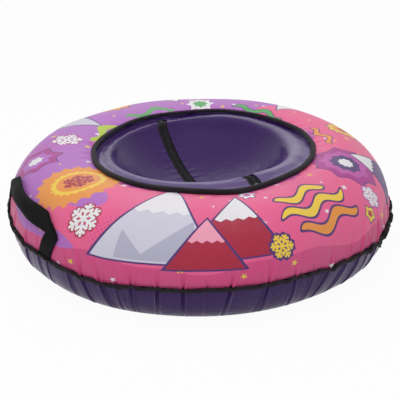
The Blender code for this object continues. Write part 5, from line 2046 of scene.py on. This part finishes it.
@dataclass
class Studio:
    """Pale floor, soft light and the camera of the picture."""

    distance: float = 2.2239
    lens: float = 82.54
    shift: tuple[float, float] = (0.00176, 0.0610)
    roll: float = -0.011
    floor_size: float = 12.0
    floor_drop: float = 0.0005

    def seen(self, tree: Tree) -> Wire:
        """1 for the camera, for mirrors and through glass, or else 0.

        Args:
            tree: The tree that the nodes go into.

        Returns:
            The wire.
        """
        rays = tree.node("ShaderNodeLightPath").outputs
        mirrored = tree.math("MAXIMUM", rays["Is Glossy Ray"], rays["Is Transmission Ray"])
        return mirrored.math("MAXIMUM", rays["Is Camera Ray"])

    def floor(self) -> None:
        """A pale floor that is white to the camera but keeps a soft shadow."""
        material = bpy.data.materials.new("studio_floor")
        material.use_nodes = True
        tree, nodes = Tree(material.node_tree), material.node_tree.nodes
        shader = nodes["Principled BSDF"]
        tree.feed(shader, {"Base Color": (0.90, 0.90, 0.90, 1.0), "Roughness": 0.9, "Specular IOR Level": 0.1})
        glow = tree.node("ShaderNodeEmission", {"Strength": 1.0})
        mix = tree.node("ShaderNodeMixShader", {0: self.seen(tree) * 0.95, 1: shader, 2: glow})
        tree.feed(nodes["Material Output"], {"Surface": mix})
        work = bmesh.new()
        bmesh.ops.create_grid(work, x_segments=1, y_segments=1, size=self.floor_size,
                              matrix=Matrix.Translation((0, 0, -self.floor_drop)))
        mesh = finished_mesh("studio_floor", work)
        mesh.materials.append(material)
        add_object("studio_floor", mesh)

    def sky(self) -> None:
        """An even white surround."""
        world = bpy.data.worlds.new("studio")
        bpy.context.scene.world = world
        world.use_nodes = True
        tree = Tree(world.node_tree)
        strength = self.seen(tree).math("MULTIPLY_ADD", 0.62, 0.38)
        tree.feed(world.node_tree.nodes["Background"], {"Color": (1.0, 1.0, 1.0, 1.0), "Strength": strength})

    def lamp(self, name: str, place: tuple, size: float, power: float, seen: bool = True) -> None:
        """Add a square soft lamp that points at the tube.

        Args:
            name: Its name.
            place: Where it hangs.
            size: Length of its side.
            power: Power in watts.
            seen: Whether glossy surfaces mirror it.
        """
        data = bpy.data.lights.new(name, "AREA")
        data.energy, data.size = power, size
        made = add_object(name, data)
        made.location = place
        made.rotation_euler = (Vector((0.0, 0.0, 0.1)) - Vector(place)).to_track_quat("-Z", "Y").to_euler()
        made.visible_glossy = seen

    def camera(self) -> None:
        """The camera that took the picture."""
        data = bpy.data.cameras.new("camera")
        data.lens = self.lens
        data.shift_x, data.shift_y = self.shift
        made = add_object("camera", data)
        side, rise = math.radians(PHOTO_AZIMUTH), math.radians(PHOTO_ELEVATION)
        back = Vector((math.sin(side) * math.cos(rise), -math.cos(side) * math.cos(rise), math.sin(rise)))
        made.location = back * self.distance
        made.rotation_mode = "QUATERNION"
        made.rotation_quaternion = (-back).to_track_quat("-Z", "Y") @ Matrix.Rotation(self.roll, 3, "Z").to_quaternion()
        bpy.context.scene.camera = made

    def build(self) -> None:
        """Set up everything round the object."""
        bpy.context.scene.view_settings.view_transform = "Standard"
        self.floor()
        self.sky()
        self.lamp("top_softbox", (-0.3, -0.2, 2.6), 2.2, 30.0, False)
        self.lamp("front_softbox", (-1.9, -2.4, 1.5), 1.6, 12.0, False)
        self.lamp("back_softbox", (0.9, 2.4, 1.9), 2.0, 10.0)
        self.camera()


def finishes() -> dict[Slot, Finish]:
    """The finish of each slot.

    Returns:
        The finishes by slot.
    """
    return {
        Slot.PRINT: PrintFinish("printed_satin", PINK, 0.50),
        Slot.SHEETING: SheetFinish("purple_sheeting", linear(52, 18, 86), 0.25, dust=linear(78, 56, 104)),
        Slot.TAPE: TapeFinish("ribbed_tape", linear(19, 17, 20), 0.78, worn_colour=linear(50, 47, 51), sheen=0.06),
        Slot.WEBBING: WebbingFinish("black_webbing", linear(9, 8, 9), 0.80, worn_colour=linear(24, 23, 24)),
        Slot.RUBBER: MouldedFinish("tube_rubber", linear(36, 36, 38), 0.6),
        Slot.COIL: MouldedFinish("coil_plastic", linear(30, 30, 32), 0.38, bloom=linear(60, 60, 64)),
        Slot.METAL: MetalFinish("cast_metal", linear(168, 168, 172), 0.36, 1.0),
        Slot.BRASS: MetalFinish("turned_brass", linear(196, 160, 92), 0.30, 1.0, worn_colour=linear(130, 100, 52)),
        Slot.STEEL: MetalFinish("spring_wire", linear(178, 180, 184), 0.28, 1.0),
        Slot.CAP: MouldedFinish("cap_plastic", linear(34, 34, 36), 0.5),
    }


def main() -> None:
    """Build and dress every piece in order."""
    logging.basicConfig(level=logging.INFO, format="%(message)s")
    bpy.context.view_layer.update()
    kit = ShaderKit()
    made = {slot: finish.material(kit) for slot, finish in finishes().items()}
    thread = MouldedFinish("purple_thread", linear(84, 60, 116), 0.6, grain=2000.0).material(kit)
    # The seat's sheeting carries a painted reflection: a pale lilac band, linear(146, 130, 178), on its shoulder.
    seat_sheeting = SheetFinish("seat_sheeting", linear(54, 18, 92), 0.25, dust=linear(78, 56, 104),
                                sheen=0.44, haze=linear(146, 130, 178)).material(kit)
    black_thread = MouldedFinish("black_thread", linear(40, 39, 41), 0.6, grain=2000.0).material(kit)
    form = TubeForm()
    repeat = PathRepeat()

    InnerTube(form).build(made[Slot.RUBBER])
    Covers(form).build(made[Slot.PRINT], made[Slot.SHEETING])
    Tapes(form).build(made[Slot.TAPE])
    Seat(form).build(repeat, seat_sheeting, thread)
    Zip(form).build(repeat, made[Slot.TAPE], made[Slot.COIL], made[Slot.METAL])
    for handle in (Handle(form, Side.LEFT), Handle(form, Side.RIGHT, centre=36.0, middle_rise=-0.004, bow=0.003)):
        handle.build(repeat, made[Slot.WEBBING], black_thread)
    Trim().dress(made)
    Studio().build()


if __name__ == "__main__":
    main()
